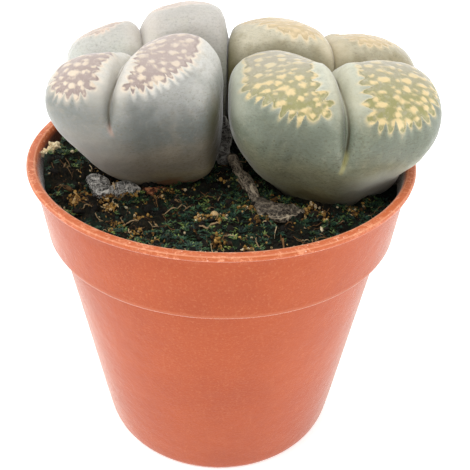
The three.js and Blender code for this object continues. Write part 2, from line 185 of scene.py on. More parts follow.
class Heap:
    """Collects many small forms into one mesh."""

    def __init__(self):
        self.points, self.faces, self.values, self.count = [], [], {}, 0

    def add(self, points, faces, **values):
        self.points.append(points)
        self.faces.append(faces + self.count)
        self.count += len(points)
        for key, value in values.items():
            self.values.setdefault(key, []).append(np.broadcast_to(value, (len(points),)))

    def piece(self, name, material, **rest):
        values = {key: np.concatenate(value) for key, value in self.values.items()}
        return make_piece(
            name, np.vstack(self.points), np.vstack(self.faces), material, values=values, **rest)


def strand(points, radii):
    """A thin four-sided strand along points, closed at both ends."""
    points = np.asarray(points, float)
    tangent = unit(np.gradient(points, axis=0))
    side = unit(np.cross(tangent, np.array([0.31, 0.17, 0.93])))
    other = np.cross(tangent, side)
    turn = np.linspace(0, 2 * np.pi, 4, endpoint=False)
    radii = np.broadcast_to(radii, (len(points),))
    ring = side[:, None] * np.cos(turn)[None, :, None] + other[:, None] * np.sin(turn)[None, :, None]
    ends = np.array([[3, 2, 1, 0], [0, 1, 2, 3]]) + np.array([[0], [4 * len(points) - 4]])
    faces = np.vstack([grid_faces(len(points), 4, True), ends])
    return (points[:, None] + ring * radii[:, None, None]).reshape(-1, 3), faces


# ---- materials ----

class Paint:
    """Builds a procedural material around one Principled BSDF."""

    def __init__(self, name):
        self.material = bpy.data.materials.new(name)
        self.material.use_nodes = True
        self.tree = self.material.node_tree
        self.bsdf = self.tree.nodes["Principled BSDF"]
        place = self.node("TexCoord")
        scale = self.node("VectorMath", operation="SCALE", Scale=1 / MM)
        self.tree.links.new(place.outputs["Object"], scale.inputs[0])
        self.mm = scale.outputs[0]

    def put(self, socket, value):
        if isinstance(value, bpy.types.NodeSocket):
            self.tree.links.new(value, socket)
        else:
            socket.default_value = value

    def node(self, kind, **settings):
        """A new node. A setting with a capital is one of its inputs, and any other is a property."""
        node = self.tree.nodes.new("ShaderNode" + kind)
        for key, value in settings.items():
            if key[0].isupper():
                self.put(node.inputs[key], value)
            else:
                setattr(node, key, value)
        return node

    def set(self, **values):
        for key, value in values.items():
            self.put(self.bsdf.inputs[key.replace("_", " ")], value)

    def stretched(self, x, y, z):
        node = self.node("VectorMath", operation="MULTIPLY")
        self.put(node.inputs[0], self.mm)
        node.inputs[1].default_value = (x, y, z)
        return node.outputs[0]

    def noise(self, scale, detail=2.0, roughness=0.5, distortion=0.0, vector=None):
        node = self.node("TexNoise", Vector=vector or self.mm, Scale=scale, Detail=detail)
        self.put(node.inputs["Roughness"], roughness)
        self.put(node.inputs["Distortion"], distortion)
        return node.outputs[0]

    def cells(self, scale, feature="F1", vector=None):
        node = self.node("TexVoronoi", feature=feature, Vector=vector or self.mm, Scale=scale)
        return node.outputs["Distance"]

    def kept(self, name):
        return self.node("Attribute", attribute_name=name).outputs["Fac"]

    def place(self, axis):
        node = self.node("SeparateXYZ")
        self.put(node.inputs[0], self.mm)
        return node.outputs[axis]

    def math(self, operation, a, b=0.0, c=0.0):
        node = self.node("Math", operation=operation)
        for socket, value in zip(node.inputs, (a, b, c)):
            self.put(socket, value)
        return node.outputs[0]

    def times(self, product, *factors):
        """product times all the factors."""
        for factor in factors:
            product = self.math("MULTIPLY", product, factor)
        return product

    def off(self, value, middle):
        """How far value lies from middle."""
        return self.math("ABSOLUTE", self.math("SUBTRACT", value, middle))

    def span(self, value, low, high, to_low=0.0, to_high=1.0):
        node = self.node("MapRange", interpolation_type="SMOOTHSTEP")
        for socket, number in zip(node.inputs[:5], (value, low, high, to_low, to_high)):
            self.put(socket, number)
        return node.outputs[0]

    def mix(self, factor, a, b):
        node = self.node("Mix", data_type="RGBA")
        self.put(node.inputs[0], factor)
        for socket, colour in ((node.inputs[6], a), (node.inputs[7], b)):
            self.put(socket, colour if isinstance(colour, bpy.types.NodeSocket) else (*colour, 1.0))
        return node.outputs[2]

    def over(self, colour, tone, *factors):
        """colour with tone laid over it, as strong as the product of the factors."""
        return self.mix(self.times(*factors), colour, tone)

    def patches(self, colour, tone, spread, *noise):
        """colour with soft patches of tone. spread is where they start and are full, and their strength."""
        low, high, amount = spread
        return self.over(colour, tone, self.span(self.noise(*noise), low, high, 0, amount))

    def ramp(self, value, stops):
        """A colour scale. Each stop is a place from 0 to 1 and a colour."""
        node = self.node("ValToRGB")
        self.put(node.inputs[0], value)
        elements = node.color_ramp.elements
        while len(elements) < len(stops):
            elements.new(0.5)
        for element, (place, colour) in zip(elements, stops):
            element.position = place
            element.color = (*colour, 1.0)
        return node.outputs[0]

    def bump(self, height, distance, strength=1.0, under=None):
        """distance is in mm."""
        node = self.node("Bump", Strength=strength, Distance=distance * MM, Height=height)
        if under is not None:
            self.put(node.inputs["Normal"], under)
        return node.outputs[0]


def srgb(red, green, blue):
    """A colour given as on a screen, 0 to 255, as Blender's linear numbers."""
    linear = []
    for c in (red / 255, green / 255, blue / 255):
        linear.append(c / 12.92 if c <= 0.04045 else ((c + 0.055) / 1.055) ** 2.4)
    return tuple(linear)


# ---- the heads' form: the CAD part's own formula, cast much finer ----

# Each head is two lobes and a core, the eggs: a top, and half widths across and along the fissure. An egg
# runs from the head's base to its top. fissure is a place, a bearing and the height where it closes. waver
# is the slit's middle, height and reach. swells are places with a reach and an amount. presses are planes
# that flatten a head against its neighbours, and pressed is the same for its visible skin.
HEADS = {
    "left_front_head": {
        "fissure": (-14, -8, 81, 54.5), "base": (-5.7, 6.9, 34),
        "eggs": [
            ((-19.6, -6.6, 60.6), 6.5, 6.5), ((-6.2, -3.6, 61.4), 6.5, 8.1), ((-13, -1.9, 59.2), 7, 7.2)],
        "squareness": 2.25, "flare": 0.78, "presses": [(0, 1, 6), (1, 0, 0.3)], "waver": (-0.25, 57.5, 4.2),
        "swells": [(-20.8, -6.7, 50.5, 5, -0.85), (-23, -5.9, 57, 3.5, 0.25), (-15.5, 0.4, 62, 3.5, -0.55),
                   (-11, 0.5, 62.4, 3, -0.45), (-4.4, 2.6, 62.2, 3.6, 1.1), (-1.4, 2, 60.2, 3, 0.2),
                   (-1, -0.6, 47.8, 3, 0.35), (-2.2, -3.6, 45.2, 2.6, 1.1)],
        "groove": 0.8,
    },
    "left_back_head": {
        "fissure": (-12.3, 11.5, 100, 54), "base": (-6.2, 11, 34),
        "eggs": [
            ((-21, 15.9, 58.8), 6, 7.9), ((-4.4, 15.2, 64.1), 6.2, 8.7), ((-12.7, 13.6, 60.2), 4.2, 7.4)],
        "squareness": 2.8, "flare": 0.5, "presses": [(0, -1, -6.3), (1, 0, 0.5)], "waver": (0, 60, 9),
        "groove": 0.7,
        "swells": [(-16.2, 16.9, 60.9, 3, -0.55), (-7.5, 17.3, 63.6, 4, -0.4), (-22.2, 15.2, 58.1, 3, 0.25),
                   (-1, 10.5, 55, 4, 1.6), (-2, 9.5, 49.5, 5, 2.4)],
        "pressed": (1, 0.4),
    },
    "right_front_head": {
        "fissure": (15.1, -9.5, 95.5, 51), "base": (16.6, 4.8, 34),
        "eggs": [((5, -3.9, 60.3), 7.4, 9.3), ((23.6, -6.6, 60.6), 7, 7.5), ((14.9, -8, 58.8), 5.6, 8.3)],
        "squareness": 2.5, "flare": 0.52, "presses": [(0, 1, 5.8), (-1, 0, -0.1)], "waver": (0.4, 56.2, -6),
        "swells": [(11.8, 0.2, 61.8, 4, -0.95), (3.2, 2.4, 59.8, 3.5, 0.35), (16.3, -0.6, 61.3, 3.5, -0.6),
                   (19.5, -1, 61.9, 3, -0.2), (27.2, -7.8, 50.7, 3, -0.35), (8.2, -4, 43, 3, -0.5)],
        "groove": 0.8,
    },
    "right_back_head": {
        "fissure": (15.8, 11, 95, 54), "base": (11.6, 10.4, 34),
        "eggs": [((5, 14.5, 61.7), 7, 8.6), ((26.1, 14.9, 58.4), 6.5, 7.9), ((15.8, 13, 59.8), 5, 7.5)],
        "squareness": 2.7, "flare": 0.5, "presses": [(0, -1, -6.1), (-1, 0, -0.3)], "waver": (0, 60, 9),
        "groove": 0.5,
        "swells": [(11.8, 16, 61.5, 4, -0.5), (19.8, 16.5, 60, 4, -0.7), (26.9, 14, 58, 3, 0.25),
                   (1, 11, 56.5, 3.5, 1.2), (2, 9.5, 50, 5, 2.2)],
        "pressed": (-1, -0.5),
    },
}


EGG_POWER = 2.3
EGG_SCALE = 7.5
WIDEST = 0.35
SLIMMEST = 0.12
EGG_BLEND = 4
PRESS_BLEND = 1.6
GROOVE_WIDTH = 2.2
WALL_BLEND = 1.4


def fissure_side(points, head):
    """Distance in mm from the fissure's plane, above 0 on the right."""
    x, y, turn, _ = head["fissure"]
    turn = math.radians(turn)
    return (points[..., 0] - x) * math.sin(turn) - (points[..., 1] - y) * math.cos(turn)


def egg_field(points, egg, head):
    top, across, along = egg
    base = np.array(head["base"], float)
    axis = np.array(top) - base
    length = np.linalg.norm(axis)
    axis = axis / length
    turn = math.radians(head["fissure"][2])
    plan = np.array([math.cos(turn), math.sin(turn), 0])
    along_axis = unit(plan - axis * (plan @ axis))
    across_axis = np.cross(along_axis, axis)
    offset = points - base
    height = (offset @ axis) / length * 2 - 1
    taper = np.maximum((1 + head["flare"] * height) / (1 + head["flare"] * WIDEST), SLIMMEST)
    x, y = np.abs(offset @ across_axis) / across, np.abs(offset @ along_axis) / along
    ring = (x ** EGG_POWER + y ** EGG_POWER) ** (1 / EGG_POWER) / taper
    n = head["squareness"]
    return ((ring ** n + np.abs(height) ** n) ** (1 / n) - 1) * EGG_SCALE


def head_field(points, head):
    """Below 0 inside the head."""
    first, second, core = (egg_field(points, egg, head) for egg in head["eggs"])
    field = smooth_min(smooth_min(first, second, EGG_BLEND), core, EGG_BLEND)
    side = np.abs(fissure_side(points, head))
    is_open = smooth_step((points[..., 2] - head["fissure"][3] + 1) / 5)
    shoulder = np.maximum(1 - side / GROOVE_WIDTH, 0)
    field = field + head["groove"] * is_open * shoulder ** 2
    for x, y, at in head["presses"]:
        field = -smooth_min(-field, at - points[..., 0] * x - points[..., 1] * y, PRESS_BLEND)
    # the inside of the collar, which the heads may pass over above the lip
    over_lip = -smooth_min(48.9 - points[..., 2], 0, WALL_BLEND)
    room = 25.1 + 0.09 * (points[..., 2] - 43) + 2.8 * over_lip
    field = -smooth_min(-field, room - np.hypot(points[..., 0], points[..., 1]), WALL_BLEND)
    return np.maximum(field, NECK - points[..., 2])


def slit_distance(points, head):
    """Distance in mm from the wavering slit where the lobes meet. It ends where the fissure closes."""
    middle, height, reach = head["waver"]
    bend = middle + math.copysign(1, reach) * ((points[..., 2] - height) / reach) ** 2
    below = np.maximum(head["fissure"][3] - 0.3 - points[..., 2], 0)
    return np.hypot(fissure_side(points, head) - bend, below)


def head_surface(head, rings, sides):
    """Points on the skin, cast out from the middle on a sphere whose poles lie across the fissure."""
    tops = [np.array(egg[0], float) for egg in head["eggs"]]
    centre = 0.36 * (tops[0] + tops[1]) + 0.28 * np.array(head["base"], float)
    turn = math.radians(head["fissure"][2])
    across = np.array([math.sin(turn), -math.cos(turn), 0])
    along = np.array([math.cos(turn), math.sin(turn), 0])
    centre = centre - across * fissure_side(centre, head)
    even = np.linspace(-1, 1, rings + 1)
    polar = (np.pi / 2) * (1 + np.sign(even) * np.abs(even) ** 1.35)
    around = np.linspace(0, 2 * np.pi, sides, endpoint=False)
    s, c = np.sin(polar)[:, None], np.cos(polar)[:, None]
    direction = -c[..., None] * across + (s * np.cos(around))[..., None] * along
    direction = direction + (s * np.sin(around))[..., None] * np.array([0, 0, 1.0])
    step = 0.6
    low, high = np.zeros(direction.shape[:2]), np.full(direction.shape[:2], step)
    going = np.ones_like(low, bool)
    while going.any():
        points = centre + direction[going] * high[going][..., None]
        inside = head_field(points, head) < 0
        rows = np.argwhere(going)
        leaving = rows[inside]
        low[tuple(leaving.T)] = high[tuple(leaving.T)]
        high[tuple(leaving.T)] += step
        stopped = rows[~inside]
        going[tuple(stopped.T)] = False
    for _ in range(14):
        middle = (low + high) / 2
        inside = head_field(centre + direction * middle[..., None], head) < 0
        low, high = np.where(inside, middle, low), np.where(inside, high, middle)
    return centre + direction * ((low + high) / 2)[..., None], direction, centre


# ---- windows: the dark patches on the tops, with their toothed edges and pale islands ----

CHART_TILT = 40
FAR = 9.0
EDGE_POINTS = 360


def window_form(seed, tooth, depth, island, outline, tilt=CHART_TILT, turn=0.3):
    """One window. Its outline is a loop of a few points in mm on a plane tilted by tilt degrees towards the
    front: across, and up that plane. tooth and depth are the width and the reach of the fingers along its
    edge, island is the largest half width of the pale islands in it, and turn is how squarely the skin still
    faces that plane where the window ends."""
    return {
        "seed": seed, "tooth": tooth, "depth": depth, "island": island, "outline": outline, "tilt": tilt,
        "turn": turn}


WINDOWS = {
    "left_front_head": [
        window_form(3, 0.95, 0.65, 0.66, [
            (-20.5, 37), (-17.5, 40), (-14.5, 38), (-15.5, 35), (-16.5, 31.5), (-19, 31), (-21.3, 32.5),
            (-21.3, 34.5)]),
        window_form(5, 0.95, 0.7, 0.66, [
            (-11, 38), (-10.5, 42.5), (-7, 44), (-4.5, 42), (-4, 38), (-6.5, 34.5), (-9.5, 32.5), (-12, 32),
            (-11, 35)]),
    ],
    "right_front_head": [
        window_form(8, 1.4, 1.05, 0.8, [
            (6, 43.5), (3.5, 41), (3, 37.5), (3, 33.5), (5.5, 31.5), (8, 29.5), (11, 28.5), (13, 29.5),
            (11.5, 32.5), (11, 36), (11.5, 40.5), (9.5, 43)]),
        window_form(13, 1.4, 1.05, 0.8, [
            (17, 36.5), (18.5, 39.8), (22, 40.6), (25.5, 39), (27.3, 35), (26.5, 31), (24.5, 28.8),
            (21, 27.6), (18.2, 28.2), (18, 31.5)]),
    ],
    "left_back_head": [
        window_form(21, 0.8, 0.6, 0.7, [
            (-22.5, 14.5), (-20, 12.3), (-17.5, 11.5), (-15.5, 14), (-16, 18.5), (-19, 20.3),
            (-22.5, 17.5)], tilt=0, turn=0.5),
        window_form(22, 0.8, 0.35, 0.7, [
            (-10.5, 14.5), (-8, 12.5), (-5, 13), (-2, 15.5), (-2.5, 19), (-6.5, 21),
            (-10.5, 17.5)], tilt=0, turn=0.5),
    ],
    "right_back_head": [
        window_form(23, 1.3, 1.0, 0.7, [
            (2.5, 16), (4.5, 13), (7.5, 9.6), (11, 8.8), (13.8, 10.3), (14.5, 15), (13, 19.5), (9, 21),
            (4.5, 20)], tilt=0, turn=0.5),
        window_form(24, 1.2, 0.75, 0.7, [
            (17.5, 14.5), (19, 11), (22, 10), (25, 12), (27, 16), (24, 20.3), (19, 19.3)], tilt=0, turn=0.5),
    ],
}


def tooth_profile(length, period, seed, count=2 * EDGE_POINTS):
    """Depths from -1 to 1 round a closed edge: blunt fingers of uneven width with narrow notches between."""
    random = np.random.default_rng(seed)
    widths = period * random.uniform(0.6, 1.5, max(int(length / period), 4))
    ends = np.concatenate([[0], np.cumsum(widths)]) * (length / widths.sum())
    reach = random.uniform(0.35, 1.0, len(widths))
    skew = random.uniform(0.35, 0.65, len(widths))
    at = np.linspace(0, length, count, endpoint=False)
    i = np.clip(np.searchsorted(ends, at, "right") - 1, 0, len(widths) - 1)
    t = (at - ends[i]) / (ends[i + 1] - ends[i])
    hump = np.where(t < skew[i], t / skew[i], (1 - t) / (1 - skew[i]))
    return (2 * np.sin(hump * np.pi / 2) ** 0.8 - 1) * reach[i]


def seeded_islands(window, edge):
    """Pale islands on a jittered grid inside an outline, then smaller ones where those leave it plain."""
    random = np.random.default_rng(window["seed"] + 60)
    low, high = edge.min(0), edge.max(0)
    islands = []
    for across, up, least, most, gap in ((1.4, 1.05, 0.42, 1, 0.06), (1.1, 0.85, 0.24, 0.5, 0.26)):
        for u in np.arange(low[0], high[0], across):
            for v in np.arange(low[1], high[1], up):
                place = np.array([u, v]) + random.uniform(-0.34, 0.34, 2) * (across, up)
                wide = window["island"] * random.uniform(least, most)
                tall = wide * random.uniform(0.42, 0.9)
                apart = [math.hypot(place[0] - a, 1.3 * (place[1] - b)) - c - wide for a, b, c, _ in islands]
                if min(apart, default=1) > gap:
                    islands.append((*place, wide, tall))
    return islands


def grid_normals(points):
    """Outward directions of a closed grid of rings of points."""
    around = np.roll(points, -1, axis=1) - np.roll(points, 1, axis=1)
    return -unit(np.cross(np.gradient(points, axis=0), around))


def window_values(points, centre, windows):
    """Signed distances in mm, above 0 inside: to the nearest toothed edge, and to the nearest island."""
    normals = grid_normals(points)
    if ((points - centre) * normals).sum() < 0:
        normals = -normals
    inside_window = np.full(points.shape[:-1], -FAR)
    inside_island = np.full(points.shape[:-1], -FAR)
    for window in windows:
        tilt = math.radians(window["tilt"])
        up = np.array([0, math.cos(tilt), math.sin(tilt)])
        out = np.array([0, -math.sin(tilt), math.cos(tilt)])
        uv = np.stack([points[..., 0], points @ up], -1)
        edge = curve_through(window["outline"], EDGE_POINTS, closed=True)
        low, high = edge.min(0) - 7.5, edge.max(0) + 7.5
        near = ((uv > low) & (uv < high)).all(-1)
        q = uv[near]
        steps = np.linalg.norm(np.diff(np.vstack([edge, edge[:1]]), axis=0), axis=1)
        at = np.concatenate([[0], np.cumsum(steps)])
        profile = tooth_profile(at[-1], window["tooth"], window["seed"])
        distance, nearest = np.full(len(q), FAR), np.zeros(len(q), int)
        for k, corner in enumerate(edge):
            d = np.hypot(q[:, 0] - corner[0], q[:, 1] - corner[1])
            closer = d < distance
            distance[closer], nearest[closer] = d[closer], k
        crossings = np.zeros(len(q), int)
        for a, b in zip(edge, np.roll(edge, -1, axis=0)):
            spans = (a[1] > q[:, 1]) != (b[1] > q[:, 1])
            if a[1] != b[1]:
                crossings += spans & (q[:, 0] < a[0] + (q[:, 1] - a[1]) * (b[0] - a[0]) / (b[1] - a[1]))
        signed = np.where(crossings % 2 == 1, distance, -distance)
        tooth = np.round(at[nearest] / at[-1] * len(profile)).astype(int) % len(profile)
        depth = profile[tooth] * window["depth"]
        # the fingers reach furthest along the front edge
        middle = edge.mean(0)
        depth = depth * (0.3 + 0.7 * smooth_step((middle[1] + 1.5 - q[:, 1]) / 3))
        flat = np.concatenate([q, np.zeros((len(q), 1))], 1)
        signed = signed + depth + 0.09 * rough(flat, 2.2, 2, window["seed"])
        # a window ends where the skin turns away from its plane
        facing = normals[near] @ out
        turned = 9 * (facing - window["turn"]) + 0.7 * rough(points[near], 0.7, 3, 51)
        signed = smooth_min(signed, turned, 0.5)
        island = np.full(len(q), -FAR)
        for u, v, wide, tall in seeded_islands(window, edge):
            du, dv = (q[:, 0] - u) / wide, (q[:, 1] - v) / tall
            here = (1 - np.hypot(du, dv)) * min(wide, tall) - 0.015
            island = -smooth_min(-island, -here, 0.12)
        island = island + 0.16 * rough(flat, 3.0, 3, window["seed"] + 40)
        inside_window[near] = np.maximum(inside_window[near], signed)
        inside_island[near] = np.maximum(inside_island[near], island)
    return inside_window, inside_island


def shaded(colour, amount):
    return tuple(amount * c for c in colour)


def skin_ground(paint, look):
    """The plain skin: pale crown, cool shoulder, darker flank and brown foot, partly painted light and
    shade, with grit and specks.
    """
    x, z = paint.place(0), paint.place(2)
    height = paint.math("ADD", z, paint.span(paint.noise(0.16, 3, 0.55), 0.3, 0.7, -1.6, 1.6))
    # the foot to crown steps are partly the skin's own colour and partly painted light and shade: lighter on
    # top where the light falls, darker down the flank
    skin = paint.mix(paint.span(height, 42.5, 47.5), look["foot"], look["flank"])
    skin = paint.over(skin, look["shoulder"], paint.span(height, 49.0, 54.5))
    skin = paint.over(skin, look["crown"], paint.span(height, 56.0, 62.0))
    mottle = paint.noise(1.6, 4, 0.65, 0.3)
    skin = paint.over(skin, look["blush"], paint.span(mottle, 0.5, 0.75, 0, 0.22))
    skin = paint.patches(skin, look["flank"], (0.5, 0.72, 0.35), 0.4, 3, 0.6, 0.5)
    shade = shaded(look["foot"], 0.3)
    low = paint.span(z, 61.0, 50.0, 0.45, 1.0)
    streak = paint.noise(1.6, 4, 0.7, 0.2, paint.stretched(0.7, 0.7, 2.4))
    skin = paint.over(skin, shade, paint.span(streak, 0.48, 0.68, 0, 0.34), low)
    grit = paint.noise(3.2, 4, 0.8, 0.0, paint.stretched(0.8, 0.8, 1.3))
    skin = paint.over(skin, shade, paint.span(grit, 0.48, 0.66, 0, 0.5), low)
    crowd = paint.times(paint.span(paint.noise(0.32, 2, 0.5), 0.4, 0.62), low)
    specks = paint.math("SUBTRACT", paint.span(crowd, 0, 1, 0.08, 0.3), paint.cells(1.5))
    skin = paint.over(skin, shade, paint.span(specks, 0.0, 0.18, 0, 0.55))
    dashes = paint.span(paint.cells(1.4, vector=paint.stretched(0.5, 0.5, 2.2)), 0.22, 0.08)
    dashes = paint.times(dashes, paint.span(paint.noise(0.5, 1), 0.46, 0.56))
    skin = paint.over(skin, shade, dashes, low, 0.5)
    # painted shade where the plants press together and shade each other; on the right front head it is
    # painted light instead
    tone, amount, far, near, floor, ceiling = look["contact_shading"]
    beside = paint.off(x, 0.3)
    contact_shading_amount = paint.times(
        paint.span(beside, far, near, 0, amount), paint.span(z, ceiling, ceiling - 5),
        paint.span(z, floor, floor + 3))
    skin = paint.over(skin, tone, contact_shading_amount)
    # painted shade: a cool dark band under each window, short of the slit and of the neighbouring plant,
    # weaker on the leftmost lobe
    window = paint.kept("window")
    band = paint.times(
        paint.span(window, -look["reach"], -0.5 * look["reach"]), paint.span(window, -0.4, -1.5),
        paint.span(paint.kept("back"), 0.8, 0.55), paint.span(paint.kept("slit"), 1.4, 3.6),
        paint.span(beside, 2.0, 5.5), paint.span(x, -18.0, -12.5, 0.25, 1))
    skin = paint.over(skin, shaded(look["shoulder"], 0.5), band, look["under"])
    # painted shade near the soil, strongest towards the middle of the pot, and rusty at the very foot
    outer = paint.off(x, 2.0)
    soil_shade = paint.times(paint.span(height, 46.4, 43.0, 0, 0.48), paint.span(outer, 18.5, 13.0, 0.1, 1))
    skin = paint.over(skin, shaded(look["foot"], 0.36), soil_shade)
    return paint.over(skin, look["rust"], paint.span(height, 44.4, 42.8, 0, 0.7))


def skin_paint(name, look, slit_end):
    """Waxy skin with the windows' pattern on top. slit_end is the height where the fissure closes."""
    paint = Paint(name)
    x, z = paint.place(0), paint.place(2)
    cream, front, rear, halo = look["cream"], look["window_front"], look["window_back"], look["halo"]
    window, island, slit = paint.kept("window"), paint.kept("island"), paint.kept("slit")
    skin = skin_ground(paint, look)
    # the pale band round each window: thin and bright at the edge, then fading into the skin
    skin = paint.over(skin, cream, paint.span(window, -3.0 * halo, -0.5 * halo, 0, 0.28))
    uneven = paint.span(paint.noise(1.1, 3, 0.6), 0.36, 0.64, 0.2, 0.62)
    skin = paint.over(skin, cream, paint.span(window, -1.2 * halo, -0.3 * halo, 0, uneven))
    back = paint.span(paint.kept("back"), 0, 1)
    dark = paint.mix(back, front, rear)
    dark = paint.patches(dark, rear, (0.42, 0.7, 0.5), 1.1, 3, 0.6)
    dark = paint.patches(dark, shaded(front, 0.8), (0.5, 0.8, 0.3), 4.0, 3, 0.6)
    edge = paint.times(paint.span(window, 0.0, 0.12), paint.span(window, 0.5, 0.2))
    dark = paint.over(dark, shaded(front, 0.72), edge, 0.35)
    dark = paint.patches(dark, look["blush"], (0.5, 0.75, 0.4), 1.5, 3, 0.7)
    colour = paint.over(skin, dark, paint.span(window, -0.17, 0.13))
    inner = paint.times(paint.span(island, -0.2, 0.16), paint.span(window, -0.2, 0.05))
    pale = paint.mix(paint.span(back, 0.35, 1.0, 0, 0.6), shaded(cream, 0.92), look["blush"])
    pale = paint.patches(pale, shaded(cream, 0.8), (0.45, 0.7, 0.5), 1.6, 2)
    colour = paint.over(colour, pale, inner, look["islands"])
    # painted shade darkens the slit above, and it closes below in a fine warm line
    tone, length = look["closing"]
    closed = slit_end + length
    slit_shade = paint.times(paint.span(slit, 0.2, 0.03), paint.span(z, closed - 0.6, closed + 0.8))
    colour = paint.over(colour, shaded(look["foot"], 0.2), slit_shade, look["slit_shade"])
    warm = paint.times(
        paint.span(slit, 0.5, 0.08), paint.span(z, closed + 0.9, closed - 0.4),
        paint.span(z, slit_end - 0.6, slit_end + 0.8, 0.3, 1))
    colour = paint.over(colour, tone, warm, 0.45)
    # a painted highlight: a pale pearly patch on the crown beside the slit
    slit_highlight = paint.times(paint.span(slit, 3.6, 0.8), paint.span(z, 55.5, 59.5), paint.span(window, 0.0, -0.3))
    highlight_pearl = tuple(0.65 * a + 0.35 * b for a, b in zip(look["crown"], cream))
    colour = paint.over(colour, highlight_pearl, slit_highlight, 0.45)
    # painted light: the outer flanks are lighter low down, as if lit from the sides
    amount, top, bottom = look["side_light"]
    outer = paint.off(x, 2.0)
    lit = paint.times(paint.span(outer, 12.0, 18.5), paint.span(z, top, bottom), paint.span(z, 41.0, 44.0))
    colour = paint.over(colour, shaded(look["crown"], 1.1), lit, amount)
    relief = paint.bump(paint.noise(9.0, 3, 0.6), 0.02, 0.8)
    relief = paint.bump(paint.cells(4.2, "SMOOTH_F1"), 0.03, 0.5, relief)
    relief = paint.bump(paint.noise(0.55, 2, 0.5), 0.25, 0.5, relief)
    relief = paint.bump(paint.span(window, -0.15, 0.2, 1, 0), 0.05, 1.0, relief)
    relief = paint.bump(inner, 0.05, 1.0, relief)
    gloss = paint.span(paint.noise(1.6, 4, 0.65, 0.3), 0.3, 0.7, 0.44, 0.58)
    gloss = paint.math("SUBTRACT", gloss, paint.span(window, -0.1, 0.1, 0, 0.08))
    paint.set(Base_Color=colour, Roughness=gloss, Normal=relief, Specular_IOR_Level=0.38)
    paint.set(Subsurface_Weight=0.12, Subsurface_Radius=(0.9, 0.8, 0.5), Subsurface_Scale=1.1 * MM)
    paint.set(Sheen_Weight=paint.span(z, 43.5, 53.0, 0.06, 0.6), Sheen_Roughness=0.28)
    return paint.material


# The contact shading is the painted shade where a neighbour presses close, or painted light on the right
# front head: a tone, its amount, how far from the neighbour it starts and is full, and its lowest and top
# heights. closing is the tone and length of the fine line where the slit has closed. The side light is the
# painted light on the outer flanks: an amount and the heights where it starts and is full. under and reach
# are the strength and reach of the painted shade band under each window.
LOOKS = {
    "left_front_head": {
        "crown": srgb(206, 205, 199), "shoulder": srgb(118, 123, 119), "flank": srgb(156, 147, 130),
        "foot": srgb(188, 174, 134), "window_front": srgb(152, 135, 129), "window_back": srgb(172, 157, 150),
        "cream": srgb(230, 213, 190), "blush": srgb(200, 187, 174), "rust": srgb(150, 92, 54),
        "closing": (srgb(196, 138, 112), 0.8), "contact_shading": (srgb(78, 73, 40), 0.92, 3.2, 1.0, 30.0, 59.5),
        "side_light": (0.42, 59.0, 51.0), "halo": 0.38, "under": 0.42, "reach": 7.0, "slit_shade": 0.9, "islands": 0.92,
    },
    "right_front_head": {
        "crown": srgb(190, 194, 180), "shoulder": srgb(124, 132, 115), "flank": srgb(140, 140, 112),
        "foot": srgb(150, 143, 98), "window_front": srgb(146, 143, 94), "window_back": srgb(166, 159, 141),
        "cream": srgb(232, 208, 156), "blush": srgb(198, 192, 168), "rust": srgb(88, 78, 46),
        "closing": (srgb(206, 198, 124), 2.2), "contact_shading": (srgb(214, 214, 196), 0.42, 3.4, 1.2, 54.0, 63.0),
        "side_light": (0.85, 51.5, 47.5), "halo": 0.22, "under": 0.42, "reach": 4.8, "slit_shade": 0.9, "islands": 0.86,
    },
    "left_back_head": {
        "crown": srgb(184, 180, 173), "shoulder": srgb(188, 190, 182), "flank": srgb(182, 180, 164),
        "foot": srgb(150, 138, 106), "window_front": srgb(180, 160, 146), "window_back": srgb(186, 168, 156),
        "cream": srgb(226, 204, 184), "blush": srgb(196, 180, 166), "rust": srgb(110, 88, 58),
        "closing": (srgb(226, 204, 184), 0.8), "contact_shading": (srgb(92, 86, 52), 0.3, 2.0, 0.4, 30.0, 63.0),
        "side_light": (0.2, 56.0, 49.0), "halo": 0.35, "under": 0.1, "reach": 4.6, "slit_shade": 0.5, "islands": 0.7,
    },
    "right_back_head": {
        "crown": srgb(196, 189, 166), "shoulder": srgb(140, 130, 98), "flank": srgb(136, 124, 86),
        "foot": srgb(140, 126, 88), "window_front": srgb(188, 166, 124), "window_back": srgb(194, 176, 142),
        "cream": srgb(230, 206, 164), "blush": srgb(200, 182, 152), "rust": srgb(110, 88, 58),
        "closing": (srgb(230, 206, 164), 0.8), "contact_shading": (srgb(92, 86, 52), 0.7, 3.0, 0.8, 30.0, 63.0),
        "side_light": (0.2, 56.0, 49.0), "halo": 0.3, "under": 0.1, "reach": 4.6, "slit_shade": 0.45, "islands": 0.6,
    },
}
HEAD_SLOTS = {
    "left_front_head": "lithops_front_left_skin",
    "right_front_head": "lithops_front_right_skin",
    "left_back_head": "lithops_back_skin",
    "right_back_head": "lithops_back_skin",
}


